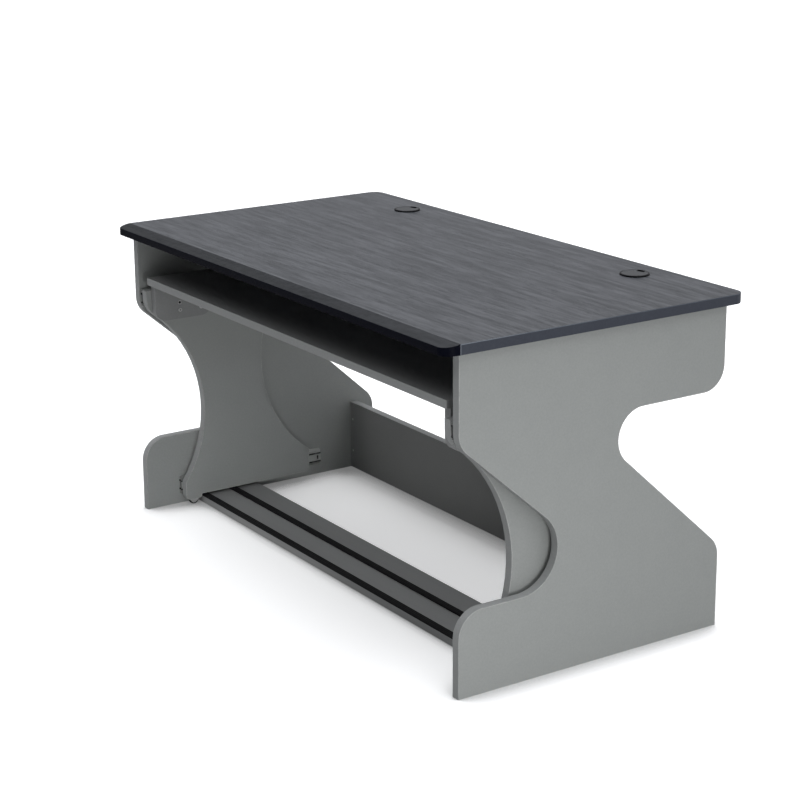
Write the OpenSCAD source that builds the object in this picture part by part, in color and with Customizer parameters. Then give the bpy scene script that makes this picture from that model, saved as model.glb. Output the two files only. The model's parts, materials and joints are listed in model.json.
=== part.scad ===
// Studio desk: a worktop on two cut-away side panels, with a rolling keyboard carriage
// that hangs between them on four full-extension ball-bearing slides.
// X runs across the desk, Y from front to back, Z up from the floor. Millimetres.

/* [Desktop] */
// Width of the desktop, side to side
top_w = 1433; // [1300:1:1600]
// Depth of the desktop, front to back
top_d = 778.5; // [740:0.5:850]
// Height of the working surface above the floor
desk_h = 750; // [735:1:780]
// Thickness of the desktop
top_t = 22; // [18:0.5:32]
// Radius of the desktop's corners, seen from above
corner_r = 30; // [15:1:60]
// How far back from the front edge the top starts to slope down
bevel_d = 38; // [10:1:45]
// How much lower the desktop is at its very front
bevel_drop = 6; // [2:0.5:10]
// Thickness of the bands round the desktop's edge
band_t = 2; // [1:0.5:3]
// How far the front band runs on past the rounded front corners
seam_run = 6.5; // [0:0.5:20]

/* [Side panels] */
// Thickness of the side panels and of every board that stands upright
board_t = 20; // [18:0.5:25]
// How far the desktop reaches past each side panel
side_overhang = 12.3; // [0:0.1:20]
// How far the desktop reaches past the panels at the front
front_overhang = 41; // [10:0.5:60]
// How far the desktop reaches past the panels at the back
rear_overhang = 44.5; // [10:0.5:60]
// Height of the panel's top bar at the front
top_bar_front_h = 190.8; // [170:0.1:205]
// Height of the panel's top bar at the back
top_bar_rear_h = 185.5; // [170:0.1:200]
// Height of the panel's base at the front
base_front_h = 187.5; // [165:0.5:205]
// Height of the panel's base at the back
base_rear_h = 189; // [165:0.5:205]
// Depth of the opening cut from the front
front_notch_d = 402; // [370:1:430]
// Depth of the opening cut from the back
rear_notch_d = 391; // [360:1:410]
// Radius where the top bar's underside leaves the front edge
top_bar_front_r = 56; // [20:1:70]
// Radius at the inner end of the front opening
front_notch_r = 91.5; // [50:0.5:110]
// Radius at the base's upper front corner
base_front_r = 59; // [20:1:80]
// Radius at the base's upper rear corner
base_rear_r = 58; // [20:1:80]
// Radius at the inner end of the rear opening
rear_notch_r = 64.5; // [30:0.5:80]
// Radius where the top bar's underside leaves the rear edge
top_bar_rear_r = 55; // [20:1:80]
// Thickness of the edging on the panels and the shelf
edging_t = 1; // [0.5:0.1:2]

/* [Boards between the side panels] */
// Gap between the floor and the boards that hang between the panels
floor_gap = 1; // [0.5:0.1:5]
// Height of the back panel
back_panel_h = 185; // [120:1:190]
// Distance from the back of the side panels to the back panel
back_panel_inset = 51.5; // [20:0.5:60]
// Height of the stretcher rail under the desktop
rail_h = 100; // [60:1:150]
// Distance from the back of the side panels to the rail
rail_inset = 73; // [65:1:120]
// Depth of the board for the pedals
pedal_d = 170; // [120:1:220]
// Thickness of the board for the pedals
pedal_t = 18; // [15:0.5:20]
// Clearance between the pedal board and the tabs over the wheels, in front of it
pedal_gap = 2; // [1:0.5:10]
// Width of a rubber strip on the pedal board
strip_w = 18; // [8:0.5:25]
// How far a rubber strip stands above the board
strip_h = 4; // [2:0.5:6]
// Depth of the groove that a rubber strip sits in
strip_seat = 1; // [0.5:0.1:2]
// Distance from the front strip to the rear strip
strip_pitch = 84.5; // [50:0.5:100]

/* [Carriage panels] */
// Distance from the front of the side panels to the carriage panels
carriage_setback = 3; // [0:0.5:15]
// Distance from the desktop down to the top of the carriage panels
carriage_drop = 143; // [130:1:160]
// How far the carriage panel's slanted edge stays inside the side panel's
diagonal_inset = 4.6; // [1:0.1:12]
// Radius at the top of the slanted edge
carriage_front_r = 53; // [20:1:90]
// Distance of that edge's lower end, where the front hollow starts, behind the side panels' front
knee_start_d = 52; // [40:0.1:95]
// Greatest depth of the front hollow behind the front of the side panels
knee_d = 156.5; // [150:0.5:170]
// Height at which the front hollow ends above the foot
foot_h = 63.4; // [60:0.1:68]
// Distance of the rear hollow's deepest point behind the front of the side panels
hollow_d = 328.5; // [315:0.5:340]
// Distance of the carriage's upper rear corner behind the front of the side panels
carriage_top_d = 412.6; // [400:0.1:430]
// Height at which the rear hollow ends above the heel
heel_h = 88.4; // [80:0.1:95]
// Distance of the foot's front behind the front of the side panels
foot_d = 95.5; // [85:0.5:105]
// Distance of the carriage's back behind the front of the side panels
carriage_rear_d = 468; // [450:1:480]
// Length of the tab over each wheel
ear_l = 46; // [45:0.5:54]
// How far the tab hangs below the panel
ear_drop = 10; // [9:0.5:11]
// Radius at the tab's lower front corner
ear_front_r = 12; // [6:0.5:14]
// Radius at the tab's lower rear corner
ear_rear_r = 7; // [3:0.5:7.5]
// Radius where the tab meets the panel's lower edge
ear_neck_r = 2; // [1:0.1:2]
// Radius at the panel's lower rear corner
heel_r = 9; // [3:0.5:20]
// Clearance between the carriage and the rubber strips under it
carriage_gap = 2; // [1:0.5:6]

/* [Keyboard shelf] */
// Clear height between the shelf and the desktop
bay_h = 108; // [95:1:118]
// Thickness of the shelf
shelf_t = 18; // [16:0.5:22]
// Depth of the shelf
shelf_d = 400; // [300:1:450]
// Distance from the front of the side panels to the shelf
shelf_setback = 7.2; // [4:0.1:30]
// Depth of the cheek under each end of the shelf
cheek_d = 160; // [150:1:200]
// Height of the cheek
cheek_h = 94; // [88:1:110]
// Distance from the shelf's front to the cheek's
cheek_setback = 10.3; // [2:0.1:30]
// Radius of the cheek's lower corners
cheek_r = 30; // [10:1:40]
// Distance from the cheek's front to its first column of holes
cheek_hole_inset = 68.5; // [45:0.5:70]
// Distance between the columns of holes
cheek_hole_pitch = 60; // [30:1:65]
// Distance from the cheek's top down to the spare holes
spare_hole_drop = 52; // [40:0.5:54]
// Distance from the spare holes down to the bolts
cheek_step = 19; // [15:0.5:22]
// Diameter of the cheek bolts
cheek_bolt_d = 6; // [4:0.5:6]

/* [Slides] */
// Space that a slide fills between two panels
slide_gap = 12.7; // [12.4:0.1:14]
// Height of a slide
slide_h = 45; // [43:0.5:50]
// Length of every slide member
slide_l = 424; // [410:1:450]
// How far the carriage rolls out
travel = 400; // [300:1:400]
// Wall thickness of the slide members
slide_wall = 1; // [0.8:0.1:1.2]
// Space for the ball cage between the outer and the middle web
web_gap = 1.4; // [1.3:0.1:1.6]
// Diameter of the balls
ball_d = 3.2; // [3:0.1:3.4]
// Running clearance between a ball and its races
race_gap = 0.25; // [0.2:0.05:0.3]
// Distance between neighbouring balls
ball_pitch = 36; // [20:1:60]
// Thickness of the ball cages
cage_t = 0.4; // [0.3:0.1:0.5]
// Distance from the front of the side panels to the upper slides
upper_slide_setback = 4.5; // [4:0.5:15]
// Distance from the front of the side panels to the lower slides
lower_slide_setback = 92.5; // [86:0.5:105]
// Height of the lower slides' centre line
lower_slide_z = 51; // [50:0.5:60]

/* [Wheels] */
// Diameter of the wheels
wheel_d = 27; // [25:0.5:28]
// Width of a wheel
wheel_w = 9; // [7:0.5:10]
// Thickness of the tyre
tyre_t = 3.4; // [2:0.1:5]
// Diameter of the wheel's axle
axle_d = 5; // [4:0.5:6]
// Distance from the foot's front to the axle
wheel_inset = 25.5; // [23:0.5:27]
// Thickness of the steel fork in the panel
fork_wall = 1; // [0.8:0.1:1.5]

/* [Grommets] */
// Distance from the desktop's side to each cable port's centre
grommet_side_inset = 267.5; // [120:0.5:400]
// Distance from the desktop's back to the ports' centres
grommet_rear_inset = 83.5; // [72:0.5:86]
// Diameter of the port through the desktop
port_d = 60; // [50:1:64]
// Diameter of the liner's flange
flange_d = 66; // [65:1:80]
// Height of the flange above the desktop
flange_h = 4; // [3.5:0.5:6]
// Depth of the seat that the flange lies in
flange_seat = 0.5; // [0.3:0.1:1]
// Wall of the liner
liner_wall = 2; // [1:0.5:3]
// Length of the cable slot in the cap
slot_l = 20; // [10:1:26]
// Width of the cable slot in the cap
slot_w = 10; // [7:0.5:12]

/* [Fasteners] */
// Length of each leg of the brackets under the desktop
bracket_leg = 40; // [25:1:50]
// Width of a bracket
bracket_w = 30; // [20:1:40]
// Thickness of a bracket
bracket_t = 2; // [1.5:0.5:4]
// Diameter of the wood screws
screw_d = 4; // [3:0.5:4.5]
// Diameter of the wood screws' heads
head_d = 7; // [6:0.5:8]
// Length of the wood screws' shanks
screw_l = 14; // [10:0.5:16]
// Diameter of the dowels
dowel_d = 8; // [6:0.5:8]
// Length of the dowels
dowel_l = 30; // [20:1:36]
// Diameter of the connecting cams in the back panel
cam_d = 6; // [5:0.5:10]

/* [Hidden] */
$fn = 48;
// Play of a fastener in its hole, and of any other piece in its seat
play = 0.05;
// Gap between pieces that turn or slide past each other
running_gap = 0.3;
// How far a cut runs past the face it opens
past = 1;
// Angles that one straight run covers in a rounded outline and in bent sheet
arc_step = 5;
bend_step = 12;
// How far the side panel's outline runs past the desktop and the floor before it is cut level
outline_past = 50;

panel_h = desk_h - top_t;
panel_d = top_d - front_overhang - rear_overhang;
panel_x = top_w / 2 - side_overhang - board_t;
carriage_x = panel_x - slide_gap - board_t;
panel_y = front_overhang - top_d / 2;
diagonal_slope = (panel_h - top_bar_front_h - base_front_h) / front_notch_d;

pedal_y = panel_y + foot_d + ear_l + pedal_gap;
pedal_top = floor_gap + pedal_t;
back_panel_y = panel_y + panel_d - back_panel_inset - board_t;
rail_y = panel_y + panel_d - rail_inset - board_t;
back_panel_top = floor_gap + back_panel_h;

carriage_top = panel_h - carriage_drop;
carriage_bottom = pedal_top + strip_h + carriage_gap;
ear_bottom = carriage_bottom - ear_drop;
knee_h = middle_height([foot_d, foot_h], [knee_start_d, diagonal_z(knee_start_d, 0)], knee_d);
knee_r = arc_radius([foot_d, foot_h], knee_d, knee_h);
hollow_h = middle_height([carriage_rear_d, heel_h], [carriage_top_d, carriage_top], hollow_d);
hollow_r = arc_radius([carriage_rear_d, heel_h], hollow_d, hollow_h);
shelf_top = panel_h - bay_h;
shelf_y = panel_y + shelf_setback;
cheek_y = shelf_y + cheek_setback;
cheek_top = shelf_top - shelf_t;
cheek_x = carriage_x - board_t;
spare_hole_ease = 1;
spare_hole_d = cheek_bolt_d + spare_hole_ease;
bush_wall = 1.5;
bush_d = spare_hole_d + 2 * bush_wall;

upper_slide_z = carriage_top - slide_h / 2;
slide_starts = [[upper_slide_setback, upper_slide_z], [lower_slide_setback, lower_slide_z]];
slide_screw_inset = 35;
slide_screw_pitch = 160;
slide_screw_spots = [for (i = [0 : 2]) slide_screw_inset + i * slide_screw_pitch];
access_gap = 1;
access_hole_d = head_d + 2 * access_gap;
countersink_d = screw_d + 1;
pan_head_h = 1.6;

race_r = ball_d / 2 + race_gap;
race_angle = 45;
lip_angle = 20;
bend_r = 0.5;
race_run = 0.4;
cage_bend_r = 1;
cage_lip = 0.45;
cage_web_gap = 0.85;
cage_bore_l = 2;
cage_end_gap = 12;
cage_hole_d = ball_d + running_gap;
race_lead = 12;
ball_stagger = 3;
middle_web_u = slide_wall + web_gap;
outer_ball = [
    middle_web_u + slide_wall + race_r * sin(race_angle) + bend_r + race_run,
    slide_h / 2 - slide_wall - race_r];
row_drop = sqrt(pow(2 * race_r + slide_wall, 2) - pow(ball_stagger, 2));
inner_ball = outer_ball + [ball_stagger, -row_drop];
crossover = atan2(row_drop, -ball_stagger);
cage_l = slide_l - travel / 2 - 2 * cage_end_gap;
ball_count = floor((cage_l - 2 * ball_d) / ball_pitch) + 1;
nose_l = 8;
nose_gap = 0.5;

wheel_x = carriage_x + board_t / 2;
wheel_y = panel_y + foot_d + wheel_inset;
wheel_gap = 1.5;
hub_r = wheel_d / 2 - tyre_t;
fork_w = wheel_w + 2 * running_gap + 2 * fork_wall;
fork_top = wheel_d + wheel_gap + fork_wall;
fork_l = wheel_d + 2 * wheel_gap;
fork_eye = 4.5;
fork_tip_r = axle_d / 2 + fork_eye;
fork_tip_flat = 0.5;
fork_corner_r = 3;
fork_rise = 1;
hub_dish = 1.2;
hub_boss_slope = 1;
hub_rim = 0.8;
hub_rim_slope = 0.4;
tyre_edge_r = 1.5;

port_x = top_w / 2 - grommet_side_inset;
port_y = top_d / 2 - grommet_rear_inset;
liner_play = 0.2;
liner_r = port_d / 2 - liner_play;
liner_bore_r = liner_r - liner_wall;
liner_rise = 3;
liner_l = top_t - liner_rise;
flange_rim = 3.5;
flange_crown = 1.5;
flange_edge = 0.4;
cap_seat_h = 1.4;
cap_play = 0.2;
cap_r = flange_d / 2 - flange_rim;
cap_edge = 0.4;
cap_rim = 2;
cap_slope = 4;
cap_dish = 1;
skirt_wall = 1.5;
skirt_l = 8;
slot_angle = 105;

bracket_front_inset = 110;
bracket_rail_gap = 12;
bracket_rear_d = rail_y - panel_y - bracket_rail_gap - bracket_w / 2;
bracket_spots = [bracket_front_inset, (bracket_front_inset + bracket_rear_d) / 2, bracket_rear_d];
dowel_inset = 30;
dowel_in_panel = 11;
dowel_spots = [
    [back_panel_y + board_t / 2, floor_gap + dowel_inset],
    [back_panel_y + board_t / 2, back_panel_top - dowel_inset],
    [rail_y + board_t / 2, panel_h - rail_h + dowel_inset],
    [rail_y + board_t / 2, panel_h - dowel_inset],
    [pedal_y + dowel_inset, floor_gap + pedal_t / 2],
    [pedal_y + pedal_d - dowel_inset, floor_gap + pedal_t / 2]];
cam_inset = 12;
cam_l = 12;
cam_low_inset = 48;
cam_high_inset = 48;
cam_heights = [floor_gap + cam_low_inset, back_panel_top - cam_high_inset];
shelf_dowel_in_shelf = 12;
shelf_dowel_spots = [cheek_y + dowel_inset, cheek_y + cheek_d - dowel_inset];
cheek_columns = [cheek_y + cheek_hole_inset, cheek_y + cheek_hole_inset + cheek_hole_pitch];
spare_hole_z = cheek_top - spare_hole_drop;
cheek_bolt_z = spare_hole_z - cheek_step;
cheek_bolt_in_panel = 14;
bolt_rim = 2;
bolt_head_d = cheek_bolt_d + 2 * bolt_rim;
bolt_head_h = 2.5;
bolt_chamfer = 1;
bolt_socket_w = 4;
bolt_socket_h = 1.8;

// Outlines: a corner is [along, up, radius], and corners run anticlockwise.
function heading(a, b) = (b - a) / norm(b - a);
function spot(c, i) = let (p = c[(i + len(c)) % len(c)]) [p[0], p[1]];
function to_last(c, i) = heading(spot(c, i), spot(c, i - 1));
function to_next(c, i) = heading(spot(c, i), spot(c, i + 1));
function corner_angle(c, i) = acos(to_last(c, i) * to_next(c, i));
function bulges(c, i) = cross(-to_last(c, i), to_next(c, i)) > 0;
function bisector(c, i) = heading([0, 0], to_last(c, i) + to_next(c, i));
function arc(centre, r, from, to) = let (n = max(2, ceil(abs(to - from) / arc_step)))
    [for (i = [0 : n]) let (a = from + (to - from) * i / n) centre + r * [cos(a), sin(a)]];
function round_off(c, i) = let (
    half = corner_angle(c, i) / 2,
    centre = spot(c, i) + bisector(c, i) * c[i][2] / sin(half),
    out = atan2(-bisector(c, i)[1], -bisector(c, i)[0]),
    swing = (bulges(c, i) ? 1 : -1) * (90 - half))
    arc(centre, c[i][2], out - swing, out + swing);
function rounded(c) = [for (i = [0 : len(c) - 1]) each c[i][2] > 0 ? round_off(c, i) : [spot(c, i)]];
function inset(c, b) = [for (i = [0 : len(c) - 1]) let (
    side = bulges(c, i) ? 1 : -1,
    p = spot(c, i) + bisector(c, i) * side * b / sin(corner_angle(c, i) / 2))
    [p[0], p[1], c[i][2] > 0 ? max(0, c[i][2] - side * b) : 0]];
function sharp(points) = [for (p = points) [p[0], p[1], 0]];

function desktop_corners() = [
    [-top_w / 2, -top_d / 2, corner_r],
    [top_w / 2, -top_d / 2, corner_r],
    [top_w / 2, top_d / 2, corner_r],
    [-top_w / 2, top_d / 2, corner_r]];

// The side panel runs past the desktop and the floor here, and is cut level with them later.
function side_panel_corners() = [
    [panel_y, panel_h + outline_past, 0],
    [panel_y, panel_h - top_bar_front_h, top_bar_front_r],
    [panel_y + front_notch_d, base_front_h, front_notch_r],
    [panel_y, base_front_h, base_front_r],
    [panel_y, -outline_past, 0],
    [panel_y + panel_d, -outline_past, 0],
    [panel_y + panel_d, base_rear_h, base_rear_r],
    [panel_y + panel_d - rear_notch_d, panel_h - top_bar_rear_h, rear_notch_r],
    [panel_y + panel_d, panel_h - top_bar_rear_h, top_bar_rear_r],
    [panel_y + panel_d, panel_h + outline_past, 0]];

// Height of the carriage panel's slanted edge at depth d, b inside the finished edge
function diagonal_z(d, b) = panel_h - top_bar_front_h - diagonal_slope * d
    + (diagonal_inset + b) * sqrt(1 + pow(diagonal_slope, 2));
// A hollow is an arc between its low and its high end, both [depth, height], with a given deepest point.
function middle_height(low, high, deepest) = let (
    a = abs(deepest - low[0]),
    b = abs(deepest - high[0]),
    qa = b - a,
    qb = 2 * (a * high[1] - b * low[1]),
    qc = b * pow(low[1], 2) - a * pow(high[1], 2) + a * b * (a - b))
    -2 * qc / (qb + sqrt(pow(qb, 2) - 4 * qa * qc));
function arc_radius(end, deepest, middle) = let (a = abs(deepest - end[0]))
    (pow(middle - end[1], 2) + pow(a, 2)) / (2 * a);
// Depth at which the slanted edge meets the front hollow, whose radius grows by b
function knee_meet_d(b) = let (
    centre_d = knee_d - knee_r,
    rise = diagonal_z(0, b) - knee_h,
    qa = 1 + pow(diagonal_slope, 2),
    qb = -2 * centre_d - 2 * diagonal_slope * rise,
    qc = pow(centre_d, 2) + pow(rise, 2) - pow(knee_r + b, 2))
    (-qb + sqrt(pow(qb, 2) - 4 * qa * qc)) / (2 * qa);
function hollow_angle(reach, r) = acos(reach / r);

function carriage_panel_corners(b) = let (
    knee_centre = [panel_y + knee_d - knee_r, knee_h],
    knee_top = asin((diagonal_z(knee_meet_d(b), b) - knee_h) / (knee_r + b)),
    knee_end = -hollow_angle(foot_d + b - knee_d + knee_r, knee_r + b),
    rear_centre = [panel_y + hollow_d + hollow_r, hollow_h],
    rear_low = 180 + hollow_angle(hollow_d + hollow_r - carriage_rear_d + b, hollow_r + b),
    rear_high = 180 - asin((carriage_top - b - hollow_h) / (hollow_r + b)),
    front = panel_y + carriage_setback + b,
    foot = panel_y + foot_d)
    concat(
        [[front, carriage_top - b, 0],
         [front, diagonal_z(carriage_setback + b, b), carriage_front_r - b]],
        sharp(arc(knee_centre, knee_r + b, knee_top, knee_end)),
        [[foot + b, ear_bottom + b, ear_front_r - b],
         [foot + ear_l - b, ear_bottom + b, ear_rear_r - b],
         [foot + ear_l - b, carriage_bottom + b, ear_neck_r + b],
         [panel_y + carriage_rear_d - b, carriage_bottom + b, heel_r - b]],
        sharp(arc(rear_centre, hollow_r + b, rear_low, rear_high)));

function cheek_corners() = [
    [cheek_y, cheek_top, 0],
    [cheek_y, cheek_top - cheek_h, cheek_r],
    [cheek_y + cheek_d, cheek_top - cheek_h, cheek_r],
    [cheek_y + cheek_d, cheek_top, 0]];

// Placing
module pair() {
    children();
    mirror([1, 0, 0]) children();
}
// Stands an outline drawn as [y, z] upright, from x outwards
module upright(x, t) {
    translate([x, 0, 0]) rotate([90, 0, 90]) linear_extrude(t) children();
}
// Points a piece drawn along +Z outwards, along +X
module outwards(x, y, z) {
    translate([x, y, z]) rotate([0, 90, 0]) children();
}
module board(x, y, z, size) {
    translate([x, y, z]) cube(size);
}

// Desktop
module top_outline(b) {
    polygon(rounded(inset(desktop_corners(), b)));
}
module front_bevel() {
    rotate([90, 0, 90]) translate([0, 0, -top_w]) linear_extrude(2 * top_w)
        polygon([
            [-top_d / 2 + bevel_d, desk_h],
            [-top_d / 2 - bevel_d, desk_h - 2 * bevel_drop],
            [-top_d / 2 - bevel_d, desk_h + past],
            [-top_d / 2 + bevel_d, desk_h + past]]);
}
module desktop() color("dimgray") difference() {
    translate([0, 0, panel_h]) linear_extrude(top_t) top_outline(band_t);
    front_bevel();
    pair() {
        translate([port_x, port_y, panel_h - past]) cylinder(d = port_d, h = top_t + 2 * past);
        translate([port_x, port_y, desk_h - flange_seat])
            cylinder(d = flange_d + 2 * play, h = flange_seat + past);
        for (d = bracket_spots)
            translate([panel_x - bracket_leg / 2 - bracket_t / 2, panel_y + d, panel_h - past])
                cylinder(d = screw_d + 2 * play, h = screw_l - bracket_t + play + past);
    }
}
module edge_band() difference() {
    translate([0, 0, panel_h]) linear_extrude(top_t) difference() {
        top_outline(0);
        top_outline(band_t);
    }
    front_bevel();
}
// The front band ends a little behind the rounded corners
module in_front_of_seam() {
    seam_y = corner_r + seam_run - top_d / 2;
    board(-top_w, seam_y - top_d, 0, [2 * top_w, top_d, 2 * desk_h]);
}
module front_edge_band() color("midnightblue") intersection() {
    edge_band();
    in_front_of_seam();
}
module side_edge_band() color("slategray") difference() {
    edge_band();
    in_front_of_seam();
}

// Side panels
module side_panel_body(b) intersection() {
    upright(panel_x, board_t) polygon(rounded(inset(side_panel_corners(), b)));
    board(0, -top_d, 0, [top_w, 2 * top_d, panel_h]);
}
module side_panel() difference() {
    side_panel_body(edging_t);
    for (p = dowel_spots)
        outwards(panel_x - past, p[0], p[1])
            cylinder(d = dowel_d + 2 * play, h = dowel_in_panel + play + past);
    for (s = slide_starts, d = slide_screw_spots)
        outwards(panel_x - past, panel_y + s[0] + d, s[1])
            cylinder(d = screw_d + 2 * play, h = screw_l - slide_wall + play + past);
    for (d = bracket_spots)
        outwards(panel_x - past, panel_y + d, panel_h - bracket_leg / 2 - bracket_t / 2)
            cylinder(d = screw_d + 2 * play, h = screw_l - bracket_t + play + past);
}
module side_panel_edging() difference() {
    side_panel_body(0);
    upright(panel_x - past, board_t + 2 * past) polygon(rounded(inset(side_panel_corners(), edging_t)));
}
module right_side_panel() color("darkgray") side_panel();
module left_side_panel() color("darkgray") mirror([1, 0, 0]) side_panel();
module right_side_panel_edging() color("gray") side_panel_edging();
module left_side_panel_edging() color("gray") mirror([1, 0, 0]) side_panel_edging();

// Boards between the side panels
module dowel_holes(spots) {
    pair() for (i = spots)
        outwards(panel_x - dowel_l + dowel_in_panel - play, dowel_spots[i][0], dowel_spots[i][1])
            cylinder(d = dowel_d + 2 * play, h = dowel_l - dowel_in_panel + play + past);
}
module back_panel() color("gray") difference() {
    board(-panel_x, back_panel_y, floor_gap, [2 * panel_x, board_t, back_panel_h - edging_t]);
    dowel_holes([0, 1]);
    pair() for (z = cam_heights)
        translate([panel_x - cam_inset, back_panel_y - past, z]) rotate([-90, 0, 0])
            cylinder(d = cam_d + 2 * play, h = cam_l + play + past);
}
module back_panel_edging() color("lightgray")
    board(-panel_x, back_panel_y, back_panel_top - edging_t, [2 * panel_x, board_t, edging_t]);
module stretcher_rail() color("gray") difference() {
    board(-panel_x, rail_y, panel_h - rail_h, [2 * panel_x, board_t, rail_h]);
    dowel_holes([2, 3]);
}
module pedal_board() color("gray") difference() {
    board(-panel_x, pedal_y, floor_gap, [2 * panel_x, pedal_d, pedal_t]);
    dowel_holes([4, 5]);
    strip_groove(pedal_y - past, strip_w + past);
    strip_groove(pedal_y + strip_pitch, strip_w);
}
module strip_groove(y, w) {
    board(-panel_x - past, y, pedal_top - strip_seat, [2 * panel_x + 2 * past, w, strip_seat + past]);
}
// A rubber strip has three grooves along its top
module tread_strip(y) {
    groove_w = strip_w / 9;
    groove_h = strip_h / 4;
    whole_h = strip_seat + strip_h;
    translate([-panel_x, y, pedal_top - strip_seat]) rotate([90, 0, 90]) linear_extrude(2 * panel_x) difference() {
        square([strip_w, whole_h]);
        for (i = [0 : 2])
            translate([strip_w / 6 + i * strip_w / 3 - groove_w / 2, whole_h - groove_h])
                square([groove_w, groove_h + past]);
    }
}
module front_tread_strip() color("black") tread_strip(pedal_y);
module rear_tread_strip() color("black") tread_strip(pedal_y + strip_pitch);

// Carriage panels
module mortise() {
    mortise_w = fork_w + 2 * play;
    board(wheel_x - mortise_w / 2, wheel_y - fork_l / 2 - play, 0, [mortise_w, fork_l + 2 * play, fork_top]);
}
module carriage_panel_body(b) difference() {
    upright(carriage_x, board_t) polygon(rounded(carriage_panel_corners(b)));
    mortise();
}
module carriage_panel() difference() {
    carriage_panel_body(edging_t);
    for (s = slide_starts, d = slide_screw_spots)
        outwards(carriage_x + board_t - screw_l + slide_wall - play, panel_y + s[0] + d, s[1])
            cylinder(d = screw_d + 2 * play, h = screw_l - slide_wall + play + past);
    for (y = cheek_columns)
        outwards(carriage_x - past, y, cheek_bolt_z)
            cylinder(d = cheek_bolt_d + 2 * play, h = cheek_bolt_in_panel + play + past);
}
module carriage_panel_edging() difference() {
    carriage_panel_body(0);
    upright(carriage_x - past, board_t + 2 * past) polygon(rounded(carriage_panel_corners(edging_t)));
}
module right_carriage_panel() color("gray") carriage_panel();
module left_carriage_panel() color("gray") mirror([1, 0, 0]) carriage_panel();
module right_carriage_panel_edging() color("dimgray") carriage_panel_edging();
module left_carriage_panel_edging() color("dimgray") mirror([1, 0, 0]) carriage_panel_edging();

// Keyboard shelf and its cheeks
module keyboard_shelf() color("gray") difference() {
    board(-carriage_x, shelf_y + edging_t, cheek_top, [2 * carriage_x, shelf_d - edging_t, shelf_t]);
    pair() for (y = shelf_dowel_spots)
        translate([cheek_x + board_t / 2, y, cheek_top - past])
            cylinder(d = dowel_d + 2 * play, h = shelf_dowel_in_shelf + play + past);
}
module keyboard_shelf_edging() color("dimgray")
    board(-carriage_x, shelf_y, cheek_top, [2 * carriage_x, edging_t, shelf_t]);
module cheek() difference() {
    upright(cheek_x, board_t) polygon(rounded(cheek_corners()));
    for (y = shelf_dowel_spots)
        translate([cheek_x + board_t / 2, y, cheek_top - dowel_l + shelf_dowel_in_shelf - play])
            cylinder(d = dowel_d + 2 * play, h = dowel_l);
    for (y = cheek_columns) {
        outwards(cheek_x - past, y, cheek_bolt_z) cylinder(d = cheek_bolt_d + 2 * play, h = board_t + 2 * past);
        outwards(cheek_x - past, y, spare_hole_z) cylinder(d = bush_d + 2 * play, h = board_t + 2 * past);
    }
}
module right_shelf_cheek() color("gray") cheek();
module left_shelf_cheek() color("gray") mirror([1, 0, 0]) cheek();
module shelf_dowels() color("burlywood") pair() for (y = shelf_dowel_spots)
    translate([cheek_x + board_t / 2, y, cheek_top - dowel_l + shelf_dowel_in_shelf])
        cylinder(d = dowel_d, h = dowel_l);
// Each cheek is bolted to its panel, and a steel bush lines every spare hole
module cheek_bolts() color("silver") pair() for (y = cheek_columns) {
    outwards(cheek_x, y, cheek_bolt_z) {
        cylinder(d = cheek_bolt_d, h = board_t + cheek_bolt_in_panel);
        difference() {
            translate([0, 0, -bolt_head_h]) rotate_extrude() polygon([
                [0, 0], [bolt_head_d / 2 - bolt_chamfer, 0], [bolt_head_d / 2, bolt_chamfer],
                [bolt_head_d / 2, bolt_head_h], [0, bolt_head_h]]);
            translate([0, 0, -bolt_head_h - past]) cylinder(d = bolt_socket_w, h = past + bolt_socket_h, $fn = 6);
        }
    }
}
module cheek_bushes() color("silver") pair() for (y = cheek_columns)
    outwards(cheek_x, y, spare_hole_z) difference() {
        cylinder(d = bush_d, h = board_t);
        translate([0, 0, -past]) cylinder(d = spare_hole_d, h = board_t + 2 * past);
    }

// Slides. A member is a bent sheet: a path of [point, normal], where the normal points outwards,
// drawn for its upper half as [across the gap, up] and mirrored for the lower half.
function bend(centre, r, from, to, out) = let (n = max(2, ceil(abs(to - from) / bend_step)))
    [for (i = [0 : n]) let (a = from + (to - from) * i / n, d = [cos(a), sin(a)]) [centre + r * d, out * d]];
function mirrored_half(path) = [for (i = [len(path) - 1 : -1 : 0])
    [[path[i][0][0], -path[i][0][1]], [path[i][1][0], -path[i][1][1]]]];
function sheet(half, t) = let (path = concat(mirrored_half(half), half)) concat(
    [for (s = path) s[0] + s[1] * t / 2],
    [for (i = [len(path) - 1 : -1 : 0]) path[i][0] - path[i][1] * t / 2]);

race_mid_r = race_r + slide_wall / 2;
corner_mid_r = bend_r + slide_wall / 2;
outer_path = concat(
    bend([slide_wall + bend_r, slide_h / 2 - slide_wall - bend_r], corner_mid_r, 180, 90, 1),
    bend(outer_ball, race_mid_r, 90, lip_angle, 1));
middle_flange_z = outer_ball[1] - race_r * cos(race_angle) - slide_wall / 2;
middle_path = concat(
    bend([middle_web_u + slide_wall + bend_r, middle_flange_z - corner_mid_r], corner_mid_r, 180, 90, 1),
    bend(outer_ball, race_mid_r, 270 - race_angle + race_lead, crossover + 180, -1),
    bend(inner_ball, race_mid_r, crossover, lip_angle, 1));
inner_flange_z = inner_ball[1] - race_r * cos(race_angle) - slide_wall / 2;
inner_path = concat(
    bend([slide_gap - slide_wall - bend_r, inner_flange_z - corner_mid_r], corner_mid_r, 0, 90, 1),
    bend(inner_ball, race_mid_r, 270 + race_angle - race_lead, 270 - race_angle + race_lead, -1),
    [[[inner_ball[0] - race_r * sin(race_angle) - race_run, inner_flange_z], [0, 1]]]);
outer_cage_path = concat(
    bend([slide_wall + web_gap / 2 + cage_bend_r, outer_ball[1] - cage_bend_r], cage_bend_r, 180, 90, 1),
    [[[outer_ball[0] + cage_hole_d / 2 + cage_lip, outer_ball[1]], [0, 1]]]);
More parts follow.
